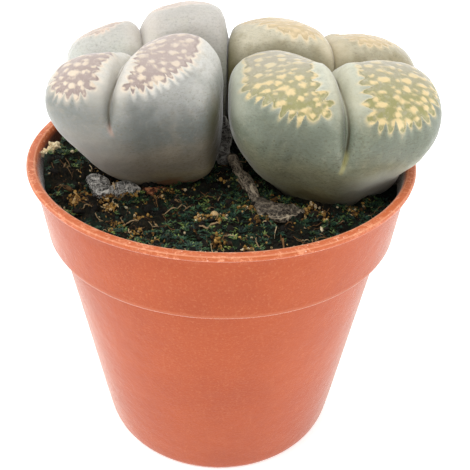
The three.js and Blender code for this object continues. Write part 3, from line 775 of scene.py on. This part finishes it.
def build_head(name):
    head = HEADS[name]
    fine = "front" in name
    rings, sides = (176, 310) if fine else (112, 204)
    points, direction, centre = head_surface(head, rings, sides)
    # the head fills its CAD node's own box
    low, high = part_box(name)
    low, high = (np.array(low) - ORIGIN) / MM, (np.array(high) - ORIGIN) / MM
    least, most = points.reshape(-1, 3).min(0), points.reshape(-1, 3).max(0)
    points = low + (points - least) / (most - least) * (high - low)
    window, island = window_values(points, centre, WINDOWS[name])
    slit = slit_distance(points, head)
    swell = 0.08 * noise(points, 0.33, 5) + 0.03 * noise(points, 1.1, 6)
    for x, y, z, reach, amount in head["swells"]:
        swell = swell + amount * np.exp(-((points - np.array([x, y, z])) ** 2).sum(-1) / reach ** 2)
    swell = swell - 0.05 * smooth_step((window + 0.1) / 0.4) + 0.04 * smooth_step((island + 0.1) / 0.3)
    closing = smooth_step((points[..., 2] - head["fissure"][3] + 0.6) / 2)
    swell = swell - (0.6 if fine else 0.35) * closing * np.exp(-slit / 0.3)
    fade = smooth_step((points[..., 2] - NECK - 0.5) / 2)
    points = points + direction * (swell * fade)[..., None]
    if "pressed" in head:
        # the flank that its neighbour flattens
        way, at = head["pressed"]
        at = at + way * 0.5 * smooth_step((points[..., 1] - 9) / 6)
        over = -smooth_min(at - way * points[..., 0], 0, 0.3)
        points[..., 0] -= way * over
    tilt = math.radians(CHART_TILT)
    height = points[..., 1] * math.cos(tilt) + points[..., 2] * math.sin(tilt)
    back = (height - 29.5) / 9.5 if fine else np.full(height.shape, 0.4)
    values = {"window": window, "island": island, "slit": slit, "back": back}
    skin = skin_paint(name + "_waxy", LOOKS[name], head["fissure"][3] - 0.3)
    return make_piece(
        name + "_skin", points, grid_faces(rings + 1, sides, True), skin,
        replaces=(name,), slot=HEAD_SLOTS[name], values=values)


for head_name in HEADS:
    build_head(head_name)


# ---- pot ----

BODY_FOOT, BODY_TOP = 19.75, 24.45
COLLAR_LOW, COLLAR_HIGH = 25.8, 26.7


def inner_radius(z):
    """The radius in mm of the pot's hollow at height z."""
    rise = (COLLAR_HIGH - COLLAR_LOW) * (z - COLLAR_INSIDE) / (POT_HEIGHT - COLLAR_INSIDE)
    if z >= COLLAR_INSIDE:
        return COLLAR_LOW + rise - WALL
    return BODY_FOOT + (BODY_TOP - BODY_FOOT) * min(z / COLLAR_FOOT, 1) - WALL


def plastic_paint():
    paint = Paint("terracotta_plastic")
    z = paint.place(2)
    base, deep, chalk = srgb(172, 74, 24), srgb(152, 58, 16), srgb(222, 158, 116)
    cloud = paint.noise(0.08, 4, 0.6)
    colour = paint.mix(paint.span(cloud, 0.35, 0.7, 0, 0.45), base, deep)
    streak = paint.noise(1.0, 4, 0.65, 0.2, paint.stretched(0.9, 0.9, 0.12))
    colour = paint.over(colour, chalk, paint.span(streak, 0.55, 0.8, 0, 0.07))
    grain = paint.noise(3.0, 4, 0.72)
    colour = paint.over(colour, chalk, paint.span(grain, 0.5, 0.72, 0, 0.2))
    colour = paint.over(colour, deep, paint.span(grain, 0.47, 0.28, 0, 0.3))
    rim = paint.span(z, 46.6, 47.4)
    colour = paint.over(colour, srgb(226, 128, 80), rim, 0.3)
    fleck = paint.math("LESS_THAN", paint.cells(1.7), 0.16)
    fleck = paint.times(
        fleck, paint.span(paint.noise(0.5, 2), 0.42, 0.6), paint.math("ADD", 0.02, paint.times(rim, 0.58)))
    colour = paint.over(colour, srgb(250, 214, 198), fleck)
    scuff = paint.span(paint.noise(1.3, 5, 0.75, 0.6), 0.5, 0.66)
    colour = paint.over(colour, srgb(250, 182, 142), rim, scuff, 0.5)
    # a thin pale line along the collar's lower ledge: a painted highlight
    edge = paint.times(paint.span(z, 37.3, 37.6), paint.span(z, 38.3, 37.8))
    colour = paint.over(colour, chalk, edge, 0.12)
    inside = paint.kept("inside")
    # a painted highlight along the lip's rounded top edge, on the outside only
    lip_highlight = paint.times(
        paint.span(z, 47.84, 47.92), paint.span(z, 47.99, 47.95), paint.math("SUBTRACT", 1.0, inside))
    colour = paint.over(colour, srgb(250, 190, 152), lip_highlight, 0.28)
    # painted shadow: a darker line under the lip's overhang
    under = paint.times(paint.span(z, 46.9, 47.1), paint.span(z, 47.4, 47.25))
    colour = paint.over(colour, deep, under, 0.5)
    # the inside wall darkens below the rim: partly painted shade, partly damp peat stain
    damp_and_shade = paint.times(
        inside, paint.span(paint.math("ADD", z, paint.span(cloud, 0.3, 0.7, -0.7, 0.7)), 47.8, 46.2))
    colour = paint.over(colour, srgb(58, 30, 22), damp_and_shade, 0.93)
    relief = paint.bump(paint.noise(3.2, 4, 0.65), 0.07, 0.8)
    relief = paint.bump(streak, 0.05, 0.3, relief)
    relief = paint.bump(paint.noise(0.5, 2), 0.3, 0.25, relief)
    paint.set(Base_Color=colour, Roughness=paint.span(grain, 0.3, 0.75, 0.34, 0.5), Normal=relief)
    paint.set(Specular_IOR_Level=0.3, Sheen_Weight=0.9, Sheen_Roughness=0.22)
    paint.set(Sheen_Tint=(1.0, 0.95, 0.9, 1.0))
    return paint.material


def build_pot():
    sides = 320
    outer = [
        (0, 0), (14, 0), (18.6, 0), (19.05, 0.02), (19.4, 0.12), (19.65, 0.35), (19.8, 0.9), (20.0, 2.2)]
    outer += [(19.75 + 4.7 * z / 37.5, z) for z in (6, 12, 18, 24, 30, 34, 36.4)]
    outer += [
        (24.4, 37.15), (24.5, 37.38), (24.75, 37.5), (25.55, 37.5), (25.76, 37.56), (25.84, 37.75),
        (25.86, 38.2)]
    outer += [(25.8 + 0.9 * (z - 37.5) / 10.5, z) for z in (40, 42, 44, 46, 46.9)]
    outer += [
        (26.72, 47.12), (26.95, 47.24), (27.3, 47.3), (27.46, 47.42), (27.5, 47.6), (27.46, 47.8),
        (27.32, 47.95)]
    outer += [(27.05, 48.0), (26.6, 48.0), (26.3, 47.95), (26.1, 47.75), (25.98, 47.4)]
    inner = [(inner_radius(z), z) for z in (46.8, 45, 43, 41, 39.5, 38.4)]
    inner += [(inner_radius(37.2) + 0.12, 37.3)]
    inner += [(inner_radius(z), z) for z in (36.4, 30, 24, 18, 12, 6, 2.2)]
    inner += [(18.4, 1.25), (17.9, 1.0), (10, 1.0), (0, 1.0)]
    profile = np.array(outer + inner)
    turn = np.linspace(0, 2 * np.pi, sides, endpoint=False)
    # the thin wall isn't quite round
    wobble = 1 + 0.0016 * np.sin(2 * turn + 0.6) + 0.0009 * np.sin(5 * turn)
    lift = np.clip(profile[:, 1] / POT_HEIGHT, 0, 1)[:, None]
    # and its lip is drawn in to keep to the CAD part's box
    within = np.where(profile[:, :1] > 27.3, 27.5 / 27.56, 1)
    radius = profile[:, :1] * (1 + (wobble - 1) * lift) * within
    height = np.broadcast_to(profile[:, 1:], radius.shape)
    points = np.stack([radius * np.cos(turn), radius * np.sin(turn), height], -1)
    is_inside = np.concatenate([np.zeros(len(outer)), np.ones(len(inner))])
    values = {"inside": np.repeat(is_inside, sides)}
    pot = make_piece(
        "pot_shell", points, grid_faces(len(profile), sides, True), plastic_paint(),
        replaces=("pot",), slot="terracotta_plastic", values=values)
    # the drain holes
    cutters = []
    holes = 5
    for i in range(holes):
        bearing = i / holes * 2 * math.pi + math.pi / 2
        place = ORIGIN + MM * np.array([13 * math.cos(bearing), 13 * math.sin(bearing), 0.5])
        bpy.ops.mesh.primitive_cylinder_add(vertices=32, radius=1.8 * MM, depth=4 * MM, location=place)
        cutter = bpy.context.object
        cutters.append(cutter)
        cut = pot.modifiers.new("drain", "BOOLEAN")
        cut.operation, cut.solver, cut.object = "DIFFERENCE", "EXACT", cutter
    bpy.context.view_layer.objects.active = pot
    for cut in list(pot.modifiers):
        bpy.ops.object.modifier_apply(modifier=cut.name)
    for cutter in cutters:
        bpy.data.objects.remove(cutter)
    return pot


build_pot()


# ---- soil ----

def soil_height(x, y):
    radius = np.hypot(x, y)
    bank = 3.6 * np.exp(-((x + 25) / 5) ** 2 - ((y + 1) / 8) ** 2)
    waves = 0.3 * np.sin(0.9 * x + 0.7 * y) + 0.22 * np.sin(1.7 * x - 1.3 * y + 2)
    waves = waves + 0.15 * np.sin(x + 2.9 * y)
    return SOIL_LEVEL + bank + 0.7 * (radius / SOIL_RADIUS) ** 4 + waves


def bed_height(x, y):
    """The rough bed: the CAD part's surface with clods and pits."""
    flat = np.stack([x, y, np.zeros_like(x)], -1)
    clods = 0.55 * rough(flat, 0.55, 4, 31, 0.55) + 0.22 * np.abs(rough(flat, 1.6, 3, 32, 0.6))
    return soil_height(x, y) + clods - 0.15


def clear_of_heads(points, gap):
    keep = np.ones(len(points), bool)
    for head in HEADS.values():
        keep &= head_field(points, head) > gap
    return keep


def soil_paint():
    paint = Paint("peat_soil")
    fine = paint.noise(2.6, 5, 0.7)
    colour = paint.ramp(fine, [
        (0.3, srgb(16, 17, 13)), (0.5, srgb(30, 29, 20)), (0.64, srgb(54, 45, 29)),
        (0.78, srgb(100, 80, 48))])
    moss = paint.span(paint.noise(0.33, 3, 0.6), 0.48, 0.66)
    colour = paint.over(colour, srgb(34, 58, 44), moss, 0.7)
    relief = paint.bump(paint.noise(3.5, 5, 0.75), 0.6, 1.0)
    paint.set(Base_Color=colour, Roughness=0.95, Normal=relief, Specular_IOR_Level=0.25)
    return paint.material


def crumb_paint():
    """shade runs from wet peat through brown and gold to pale grains."""
    paint = Paint("soil_crumb")
    shade = paint.kept("shade")
    colour = paint.ramp(shade, [
        (0.0, srgb(10, 11, 9)), (0.35, srgb(30, 25, 19)), (0.55, srgb(54, 38, 24)), (0.7, srgb(116, 82, 40)),
        (0.85, srgb(202, 156, 80)), (1.0, srgb(246, 232, 196))])
    mottle = paint.noise(3.0, 4, 0.7)
    colour = paint.over(colour, srgb(18, 16, 11), paint.span(mottle, 0.45, 0.8, 0, 0.55))
    relief = paint.bump(paint.noise(6, 4, 0.7), 0.2, 0.9)
    paint.set(Base_Color=colour, Roughness=0.9, Normal=relief, Specular_IOR_Level=0.3)
    return paint.material


def moss_paint():
    paint = Paint("moss")
    shade = paint.kept("shade")
    colour = paint.ramp(shade, [
        (0.0, srgb(18, 38, 32)), (0.4, srgb(38, 74, 56)), (0.7, srgb(78, 108, 58)),
        (1.0, srgb(158, 172, 88))])
    colour = paint.patches(colour, srgb(16, 32, 26), (0.5, 0.8, 0.5), 1.2, 2)
    paint.set(Base_Color=colour, Roughness=0.55, Specular_IOR_Level=0.4)
    return paint.material


def fibre_paint():
    paint = Paint("root_fibre")
    shade = paint.kept("shade")
    colour = paint.ramp(
        shade, [(0.0, srgb(52, 34, 22)), (0.5, srgb(124, 88, 50)), (1.0, srgb(222, 198, 156))])
    colour = paint.patches(colour, srgb(48, 32, 20), (0.45, 0.75, 0.5), 4.0, 4, 0.7)
    relief = paint.bump(paint.noise(8, 3, 0.6), 0.06, 0.8)
    paint.set(Base_Color=colour, Roughness=0.8, Normal=relief, Specular_IOR_Level=0.3)
    return paint.material


def build_soil():
    sides, rings = ((300, 104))
    edge = inner_radius(43.0) - 0.12
    radius = edge * np.linspace(0, 1, rings + 1) ** 0.9
    turn = np.linspace(0, 2 * np.pi, sides, endpoint=False)
    x, y = radius[:, None] * np.cos(turn), radius[:, None] * np.sin(turn)
    top = np.stack([x, y, bed_height(x, y)], -1)
    sides_down = []
    for z in (41, 38.6, 37.0, 30, 20, 10, 2):
        r = inner_radius(z) - 0.3
        sides_down.append(np.stack([r * np.cos(turn), r * np.sin(turn), np.full(sides, z)], -1))
    for r in (17.6, 9, 0.0):
        sides_down.append(np.stack([r * np.cos(turn), r * np.sin(turn), np.full(sides, 1.3)], -1))
    points = np.concatenate([top, np.array(sides_down)])
    make_piece(
        "soil_bed", points, grid_faces(len(points), sides, True)[:, ::-1], soil_paint(),
        replaces=("soil",), slot="peat_soil")


def on_soil(count, random, gap=0.25, radius=SOIL_RADIUS):
    """Seeded places on the bed that no head covers."""
    r, t = radius * np.sqrt(random.random(count)), 2 * np.pi * random.random(count)
    x, y = r * np.cos(t), r * np.sin(t)
    points = np.stack([x, y, bed_height(x, y)], -1)
    return points[clear_of_heads(points + np.array([0, 0, 0.4]), gap)]


def turned_about(points, random):
    """Points turned by a random rotation."""
    q = unit(random.normal(size=4))
    w, x, y, z = q
    matrix = np.array([
        [1 - 2 * (y * y + z * z), 2 * (x * y - w * z), 2 * (x * z + w * y)],
        [2 * (x * y + w * z), 1 - 2 * (x * x + z * z), 2 * (y * z - w * x)],
        [2 * (x * z - w * y), 2 * (y * z + w * x), 1 - 2 * (x * x + y * y)]])
    return points @ matrix.T


def build_crumbs():
    random = np.random.default_rng(7)
    ball1, faces1 = icosphere(1)
    ball0, faces0 = icosphere(0)
    heap = Heap()

    def crumb(place, size, shade, fine=False):
        ball, faces = (ball1, faces1) if fine else (ball0, faces0)
        shape = ball * (1 + 0.34 * noise(ball * 1.3 + place, 1.0, 3))[:, None]
        shape = turned_about(shape * random.uniform(0.45, 1.35, 3), random) * size
        heap.add(shape + place + np.array([0, 0, 0.25 * size]), faces, shade=shade)

    for place in on_soil(260, random):
        crumb(place, random.uniform(0.3, 0.62), random.beta(2, 4) * 0.7, True)
    for place in on_soil(8700, random, 0.12):
        shade = random.beta(2, 3) * 0.74 if random.random() < 0.9 else random.uniform(0.7, 0.95)
        crumb(place, random.uniform(0.07, 0.24), shade)
    # golden, rusty and pale grains lie together in patches, most of them in front of the heads
    for centre in on_soil(106, random, 0.4, 23.5):
        spread, tone = random.uniform(0.4, 1.0), random.uniform(0.64, 0.8)
        if centre[1] > -4 and random.random() > 0.3:
            continue
        for _ in range(int(48 * spread)):
            x, y = centre[:2] + 0.6 * spread * random.normal(size=2)
            place = np.array([x, y, float(bed_height(x, y)) + random.uniform(0, 0.4)])
            if np.hypot(x, y) < SOIL_RADIUS and clear_of_heads(place[None], 0.2)[0]:
                size = random.uniform(0.1, 0.25)
                crumb(place, size, random.uniform(tone - 0.1, tone + 0.2), size > 0.22)
    # the pale lichen where the bank meets the rim, and three cream grains
    for _ in range(110):
        t = random.random()
        place = np.array([-25.5 + 1.6 * t, -1.7 + 2.1 * t, 47.0 + 0.4 * t])
        place = place + random.normal(size=3) * np.array([0.22, 0.22, 0.2])
        crumb(place, random.uniform(0.12, 0.3), random.uniform(0.93, 1.0), True)
    for x, y, size in [(13, -15, 0.36), (-22, 1, 0.3), (-13, -10, 0.26)]:
        crumb(np.array([x, y, float(bed_height(np.array(x), np.array(y))) + 0.2]), size, 0.97, True)
    # one round yellow grain
    x, y = -1.0, -11.0
    place = np.array([x, y, float(bed_height(np.array(x), np.array(y))) + 0.35])
    heap.add(ball1 * 0.62 * (1 + 0.05 * noise(ball1 * 2, 1.0, 9))[:, None] + place, faces1, shade=0.9)
    heap.piece("soil_crumbs", crumb_paint(), slot="peat_soil", smooth=False)


# a closed leaf: foot, left, right, keel, tip
LEAF_FACES = np.array([[0, 2, 1], [0, 1, 3], [0, 3, 2], [1, 2, 4], [3, 1, 4], [2, 3, 4]])


def build_moss():
    random = np.random.default_rng(19)
    heap = Heap()
    places = on_soil(7600, random, 0.2)
    density = rough(places * np.array([1, 1, 0]), 0.22, 3, 77)
    places = places[density + 0.4 * random.random(len(places)) > -0.04]
    for place in places[:4300]:
        tone = np.clip(0.36 + 0.28 * random.normal(), 0, 0.85)
        bright = math.exp(-((place[0] + 3) ** 2 + (place[1] + 5) ** 2) / 2.5)
        bright += math.exp(-((place[0] - 1.5) ** 2 + (place[1] + 17.5) ** 2) / 3)
        tone = min(tone + 0.6 * bright, 1.0)
        size = random.uniform(0.26, 0.58)
        lean = random.normal(size=2) * 0.25
        count = random.integers(4, 7)
        for k in range(count):
            bearing = k * 2.4 + random.uniform(-0.4, 0.4)
            rise = random.uniform(0.35, 1.1)
            out = np.array([math.cos(bearing), math.sin(bearing), 0])
            side = np.array([-out[1], out[0], 0]) * 0.19 * size
            foot = place + np.array([0, 0, 0.06 * k * size])
            middle = foot + size * (0.5 * out + np.array([lean[0], lean[1], 0.55 * rise]))
            tip = foot + size * (out + np.array([lean[0] * 2, lean[1] * 2, rise * 0.75]))
            keel = middle - np.array([0, 0, 0.13 * size])
            leaf = np.array([foot, middle - side, middle + side, keel, tip])
            heap.add(leaf, LEAF_FACES, shade=np.clip(tone + random.normal() * 0.08, 0, 1))
    heap.piece("moss", moss_paint(), slot="peat_soil", smooth=False)


def build_fibres():
    random = np.random.default_rng(23)
    heap = Heap()

    def fibre(start, bearing, length, width, shade, curl=0.5, rise=0.25):
        steps = 12
        bend = bearing + np.cumsum(random.normal(size=steps)) * curl * 0.35
        x = start[0] + np.concatenate([[0], np.cumsum(np.cos(bend[:-1]))]) * length / steps
        y = start[1] + np.concatenate([[0], np.cumsum(np.sin(bend[:-1]))]) * length / steps
        hump = np.sin(np.linspace(0.1, np.pi - 0.1, steps))
        z = bed_height(x, y) + rise * hump + 0.05
        keep = np.hypot(x, y) < 25.1
        line = np.stack([x, y, z], -1)
        if keep.all() and clear_of_heads(line, 0.1).all():
            taper = width * (0.35 + 0.65 * np.sin(np.linspace(0.25, np.pi - 0.25, steps)))
            points, faces = strand(line, taper)
            heap.add(points, faces, shade=shade)

    for place in on_soil(520, random):
        fibre(place, random.uniform(0, 2 * np.pi), random.uniform(0.8, 3.6), random.uniform(0.03, 0.1),
              random.beta(2, 2.6), 0.8, random.uniform(0.02, 0.4))
    # a few stand out: dark twigs and long pale curls
    for place in on_soil(30, random):
        fibre(place, random.uniform(0, 2 * np.pi), random.uniform(1.8, 5.5), random.uniform(0.09, 0.18),
              random.uniform(0.3, 0.95), 0.25, 0.4)
    heap.piece("soil_fibres", fibre_paint(), slot="root")


build_soil()
build_crumbs()
build_moss()
build_fibres()


# ---- dry sheaths ----

def papery_paint(name, dark, mid, light, dots=0.0, veins=0.46):
    paint = Paint(name)
    fold = paint.kept("fold")
    grain = paint.noise(2.6, 5, 0.7, 0.6)
    colour = paint.ramp(fold, [(0.0, shaded(dark, 0.5)), (0.3, dark), (0.7, mid), (1.0, light)])
    colour = paint.over(colour, mid, paint.span(grain, 0.5, 0.75, 0, 0.4))
    colour = paint.over(colour, dark, paint.span(grain, 0.46, 0.3, 0, 0.6))
    for scale, reach in ((1.5, 0.045), (2.9, 0.06)):
        vein = paint.off(paint.noise(scale, 1, 0.5, 0.9), 0.5)
        colour = paint.over(colour, light, paint.span(vein, reach, 0.01, 0, veins))
    spots = paint.math("LESS_THAN", paint.cells(2.6), 0.24)
    colour = paint.over(colour, shaded(dark, 0.3), spots, dots)
    # painted shade: rolls with a low tone are darker all over, and each roll is darker along one side, the
    # underside of the lying rolls
    colour = paint.over(colour, shaded(dark, 0.4), paint.span(paint.kept("tone"), 1.0, 0.0, 0, 0.9))
    colour = paint.over(colour, srgb(30, 25, 18), paint.span(paint.kept("up"), 0.25, 0.0, 0, 0.5))
    relief = paint.bump(paint.noise(6.0, 4, 0.7), 0.08, 0.9)
    paint.set(Base_Color=colour, Roughness=0.7, Normal=relief, Specular_IOR_Level=0.35)
    return paint.material


GREY_PAPER = papery_paint("grey_paper", srgb(62, 60, 56), srgb(112, 110, 105), srgb(222, 218, 210))
BROWN_PAPER = papery_paint(
    "brown_paper", srgb(56, 48, 40), srgb(104, 92, 78), srgb(200, 184, 158), veins=0.4)
PALE_PAPER = papery_paint("pale_paper", srgb(92, 88, 80), srgb(150, 146, 138), srgb(232, 228, 218))
HUSK_PAPER = papery_paint("husk_paper", srgb(84, 42, 26), srgb(146, 84, 52), srgb(186, 124, 84), 0.8, 0.1)


def crumpled_roll(heap, line, width, seed, tall=0.8, upright=False, stretch=1.0, tone=1.0):
    """A closed crumpled papery roll along line, in winding folds. stretch below 1 draws them out, and tone
    below 1 paints the whole roll darker as shade.
    """
    along_count, around_count = ((190, 60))
    middle = curve_through(line, along_count)
    radius = curve_through([(w, 0, 0) for w in width], along_count)[:, 0]
    s = np.linspace(-1, 1, along_count)
    radius = np.maximum(radius * np.sqrt(1 - s ** 6), 0.004)
    tangent = unit(np.gradient(middle, axis=0))
    side = unit(np.cross(tangent, np.array([0, 1.0, 0]) if upright else np.array([0, 0, 1.0])))
    up = np.cross(side, tangent)
    turn = np.linspace(0, 2 * np.pi, around_count, endpoint=False)
    way = side[:, None] * np.cos(turn)[:, None] + tall * up[:, None] * np.sin(turn)[:, None]
    points = middle[:, None] + way * radius[:, None, None]
    travel = np.concatenate([[0], np.cumsum(np.linalg.norm(np.diff(middle, axis=0), axis=1))])
    grid = np.stack([
        np.broadcast_to(travel[:, None] * stretch, points.shape[:2]),
        radius[:, None] * np.cos(turn), radius[:, None] * np.sin(turn)], -1)
    bent = grid + 0.4 * noise(grid, 1.1, seed)[..., None] * np.array([1.0, -0.7, 0.8])
    broad = np.abs(noise(bent, 1.5, seed + 1)) / 0.34
    fine = np.abs(noise(bent, 3.2, seed + 2)) / 0.4
    fold = 1 - smooth_step(np.minimum(broad, fine * 0.85 + 0.12))
    lumps = rough(points, 0.6, 2, seed + 3)
    thin = np.minimum(radius / 0.7, 1)[:, None]
    points = points + unit(way) * ((0.2 * (fold - 0.4) + 0.26 * lumps) * thin)[..., None]
    # up runs from 0 to 1 round the roll, lowest on the underside of a lying roll, for the paper's painted
    # shade
    rise = (np.sin(turn) * 0.5 + 0.5) * np.ones((along_count, 1))
    faces = grid_faces(along_count, around_count, True)
    heap.add(points.reshape(-1, 3), faces, fold=fold.ravel(), up=rise.ravel(), tone=tone)


def build_sheath(node, paper, rolls):
    heap = Heap()
    for roll in rolls:
        crumpled_roll(heap, **roll)
    heap.piece(node + "_paper", paper, replaces=(node,), slot="husk" if "husk" in node else "dry_sheath")


build_sheath("left_front_sheath", GREY_PAPER, [
    {"line": [(-19.2, -1.6, 43.4), (-18.2, -3.4, 43.6), (-16.8, -5.0, 43.0), (-15.4, -5.6, 42.7)],
     "width": [0.5, 1.2, 1.45, 0.9], "seed": 2},
    {"line": [(-16.4, -5.8, 42.6), (-14.9, -5.2, 43.1), (-13.4, -4.6, 43.2), (-11.6, -4.2, 42.9)],
     "width": [0.5, 1.15, 1.1, 0.4], "seed": 4},
])
build_sheath("left_front_husk", HUSK_PAPER, [
    {"line": [(-11.4, -4.2, 42.8), (-10.0, -4.8, 42.9), (-8.6, -4.7, 42.9), (-7.2, -4.2, 42.7)],
     "width": [0.4, 0.7, 0.65, 0.3], "seed": 11},
])
build_sheath("middle_sheath", PALE_PAPER, [
    {"line": [(0.2, 4.6, 42.2), (0.0, 4.4, 45.0), (0.3, 4.3, 48.0), (0.1, 4.4, 50.6)],
     "width": [1.1, 1.0, 0.8, 0.5], "seed": 14, "tall": 0.6, "upright": True},
])
build_sheath("right_front_sheath", BROWN_PAPER, [
    {"line": [(1.2, 4.2, 44.4), (2.0, 1.2, 44.0), (3.2, -2.2, 43.7), (4.4, -5.4, 43.2), (4.9, -7.2, 43.0)],
     "width": [0.75, 0.85, 0.75, 0.8, 0.6], "seed": 16, "stretch": 0.4},
    # a wide roll painted darker with a low tone, as shade in the sheath's hollow
    {"line": [
        (4.6, -6.6, 42.9), (5.9, -8.9, 42.9), (8.0, -9.9, 42.9), (10.0, -9.6, 42.8), (10.9, -9.2, 42.9)],
     "width": [0.8, 1.4, 1.45, 1.1, 0.6], "seed": 18, "tall": 0.6, "stretch": 0.6, "tone": 0.4},
    {"line": [
        (4.6, -7.6, 43.0), (5.4, -9.9, 42.9), (7.6, -11.2, 42.8), (9.8, -10.7, 42.9), (11.2, -9.6, 43.2)],
     "width": [0.3, 0.5, 0.55, 0.45, 0.4], "seed": 21, "stretch": 0.6},
])
build_sheath("left_back_sheath", GREY_PAPER, [
    {"line": [
        (-13.4, 18.6, 43.0), (-10.6, 20.2, 43.3), (-6.8, 20.4, 43.2), (-3.2, 18.8, 43.3),
        (-1.6, 16.8, 43.0)],
     "width": [0.6, 1.2, 1.0, 1.2, 0.6], "seed": 19},
])
build_sheath("right_back_sheath", GREY_PAPER, [
    {"line": [(4.2, 17.0, 43.0), (7.4, 19.4, 43.3), (11.4, 20.3, 43.2), (14.8, 18.6, 43.1)],
     "width": [0.6, 1.2, 1.1, 0.6], "seed": 20},
])

# the root crowns stay as the CAD part's own solids, with a fibrous root bark
root = Paint("root_bark")
bark = root.noise(1.8, 5, 0.7, 0.4, root.stretched(1.5, 1.5, 0.5))
root.set(Base_Color=root.ramp(bark, [(0.3, srgb(70, 50, 34)), (0.7, srgb(150, 118, 80))]), Roughness=0.9)
root.set(Normal=root.bump(bark, 0.2, 0.8))
for name in ("left_root_crown", "right_root_crown"):
    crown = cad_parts[name]
    crown.data.materials.clear()
    crown.data.materials.append(root.material)


# ---- floor, light and camera ----

def build_floor():
    paint = Paint("studio_floor")
    tone = paint.span(paint.noise(0.01, 2), 0.3, 0.7, 0.0, 1.0)
    paint.set(
        Base_Color=paint.mix(tone, (0.93, 0.93, 0.93), (0.95, 0.95, 0.95)), Roughness=0.9,
        Specular_IOR_Level=0.1)
    paint.set(Emission_Color=(1.0, 1.0, 1.0, 1.0), Emission_Strength=0.42)
    bpy.ops.mesh.primitive_plane_add(size=6, location=(0, 0, float(pot_low.z) - 0.00005))
    floor = bpy.context.object
    floor.name = "floor"
    floor.data.materials.append(paint.material)


def area_light(name, place, target, size, power, colour=(1, 1, 1)):
    data = bpy.data.lights.new(name, "AREA")
    data.shape, data.size, data.energy, data.color = "DISK", size, power, colour
    light = bpy.data.objects.new(name, data)
    light.location = place
    direction = np.array(target, float) - np.array(place, float)
    light.rotation_mode = "QUATERNION"
    light.rotation_quaternion = Vector(direction).to_track_quat("-Z", "Y")
    bpy.context.scene.collection.objects.link(light)


def build_world():
    """A white light tent, dimmer behind the camera than above and behind the part."""
    world = bpy.data.worlds.new("studio")
    bpy.context.scene.world = world
    world.use_nodes = True
    tree = world.node_tree
    background = tree.nodes["Background"]
    direction = tree.nodes.new("ShaderNodeTexCoord")
    towards = tree.nodes.new("ShaderNodeVectorMath")
    towards.operation = "DOT_PRODUCT"
    towards.inputs[1].default_value = (0.0, 0.8, 0.6)
    tree.links.new(direction.outputs["Generated"], towards.inputs[0])
    level = tree.nodes.new("ShaderNodeMapRange")
    level.interpolation_type = "SMOOTHSTEP"
    for socket, number in zip(level.inputs[1:5], (-0.75, 0.55, 0.34, 0.95)):
        socket.default_value = number
    tree.links.new(towards.outputs["Value"], level.inputs["Value"])
    background.inputs["Color"].default_value = (1.0, 1.0, 1.0, 1.0)
    tree.links.new(level.outputs[0], background.inputs["Strength"])


def build_camera():
    """The photograph's view: 3.51 rim radii from the rim's centre, 26.8 degrees above the horizon."""
    rise, pan, tilt, roll = (math.radians(a) for a in (26.83, 1.04, -7.74, 0.98))

    def turned(a, b, angle):
        return math.cos(angle) * a + math.sin(angle) * b, math.cos(angle) * b - math.sin(angle) * a

    back = np.array([0, -math.cos(rise), math.sin(rise)])
    right = np.array([1.0, 0, 0])
    up = np.array([0, math.sin(rise), math.cos(rise)])
    place = np.array([0, 0, POT_HEIGHT]) + back * 3.51 * RIM
    right, up = turned(right, up, roll)
    right, back = turned(right, back, pan)
    up, back = turned(up, back, tilt)
    data = bpy.data.cameras.new("camera")
    data.sensor_width = 36
    data.lens = 50.74
    data.clip_start = 0.005
    camera = bpy.data.objects.new("camera", data)
    turn = np.stack([right, up, back, ORIGIN + place * MM], -1)
    camera.matrix_world = Matrix([*turn.tolist(), (0, 0, 0, 1)])
    bpy.context.scene.collection.objects.link(camera)
    bpy.context.scene.camera = camera


build_floor()
build_world()
area_light("key", (-0.20, -0.10, 0.45), (0, 0, 0.045), 0.30, 0.7)
area_light("left", (-0.42, -0.06, 0.09), (0, 0, 0.04), 0.30, 0.75)
area_light("right", (0.42, -0.08, 0.06), (0, 0, 0.04), 0.30, 1.0)
area_light("top", (0.05, 0.16, 0.46), (0, 0, 0.05), 0.34, 0.5)
area_light("front", (0.02, -0.46, 0.20), (0, 0, 0.045), 0.30, 0.3)
build_camera()
bpy.context.scene.view_settings.view_transform = "Standard"
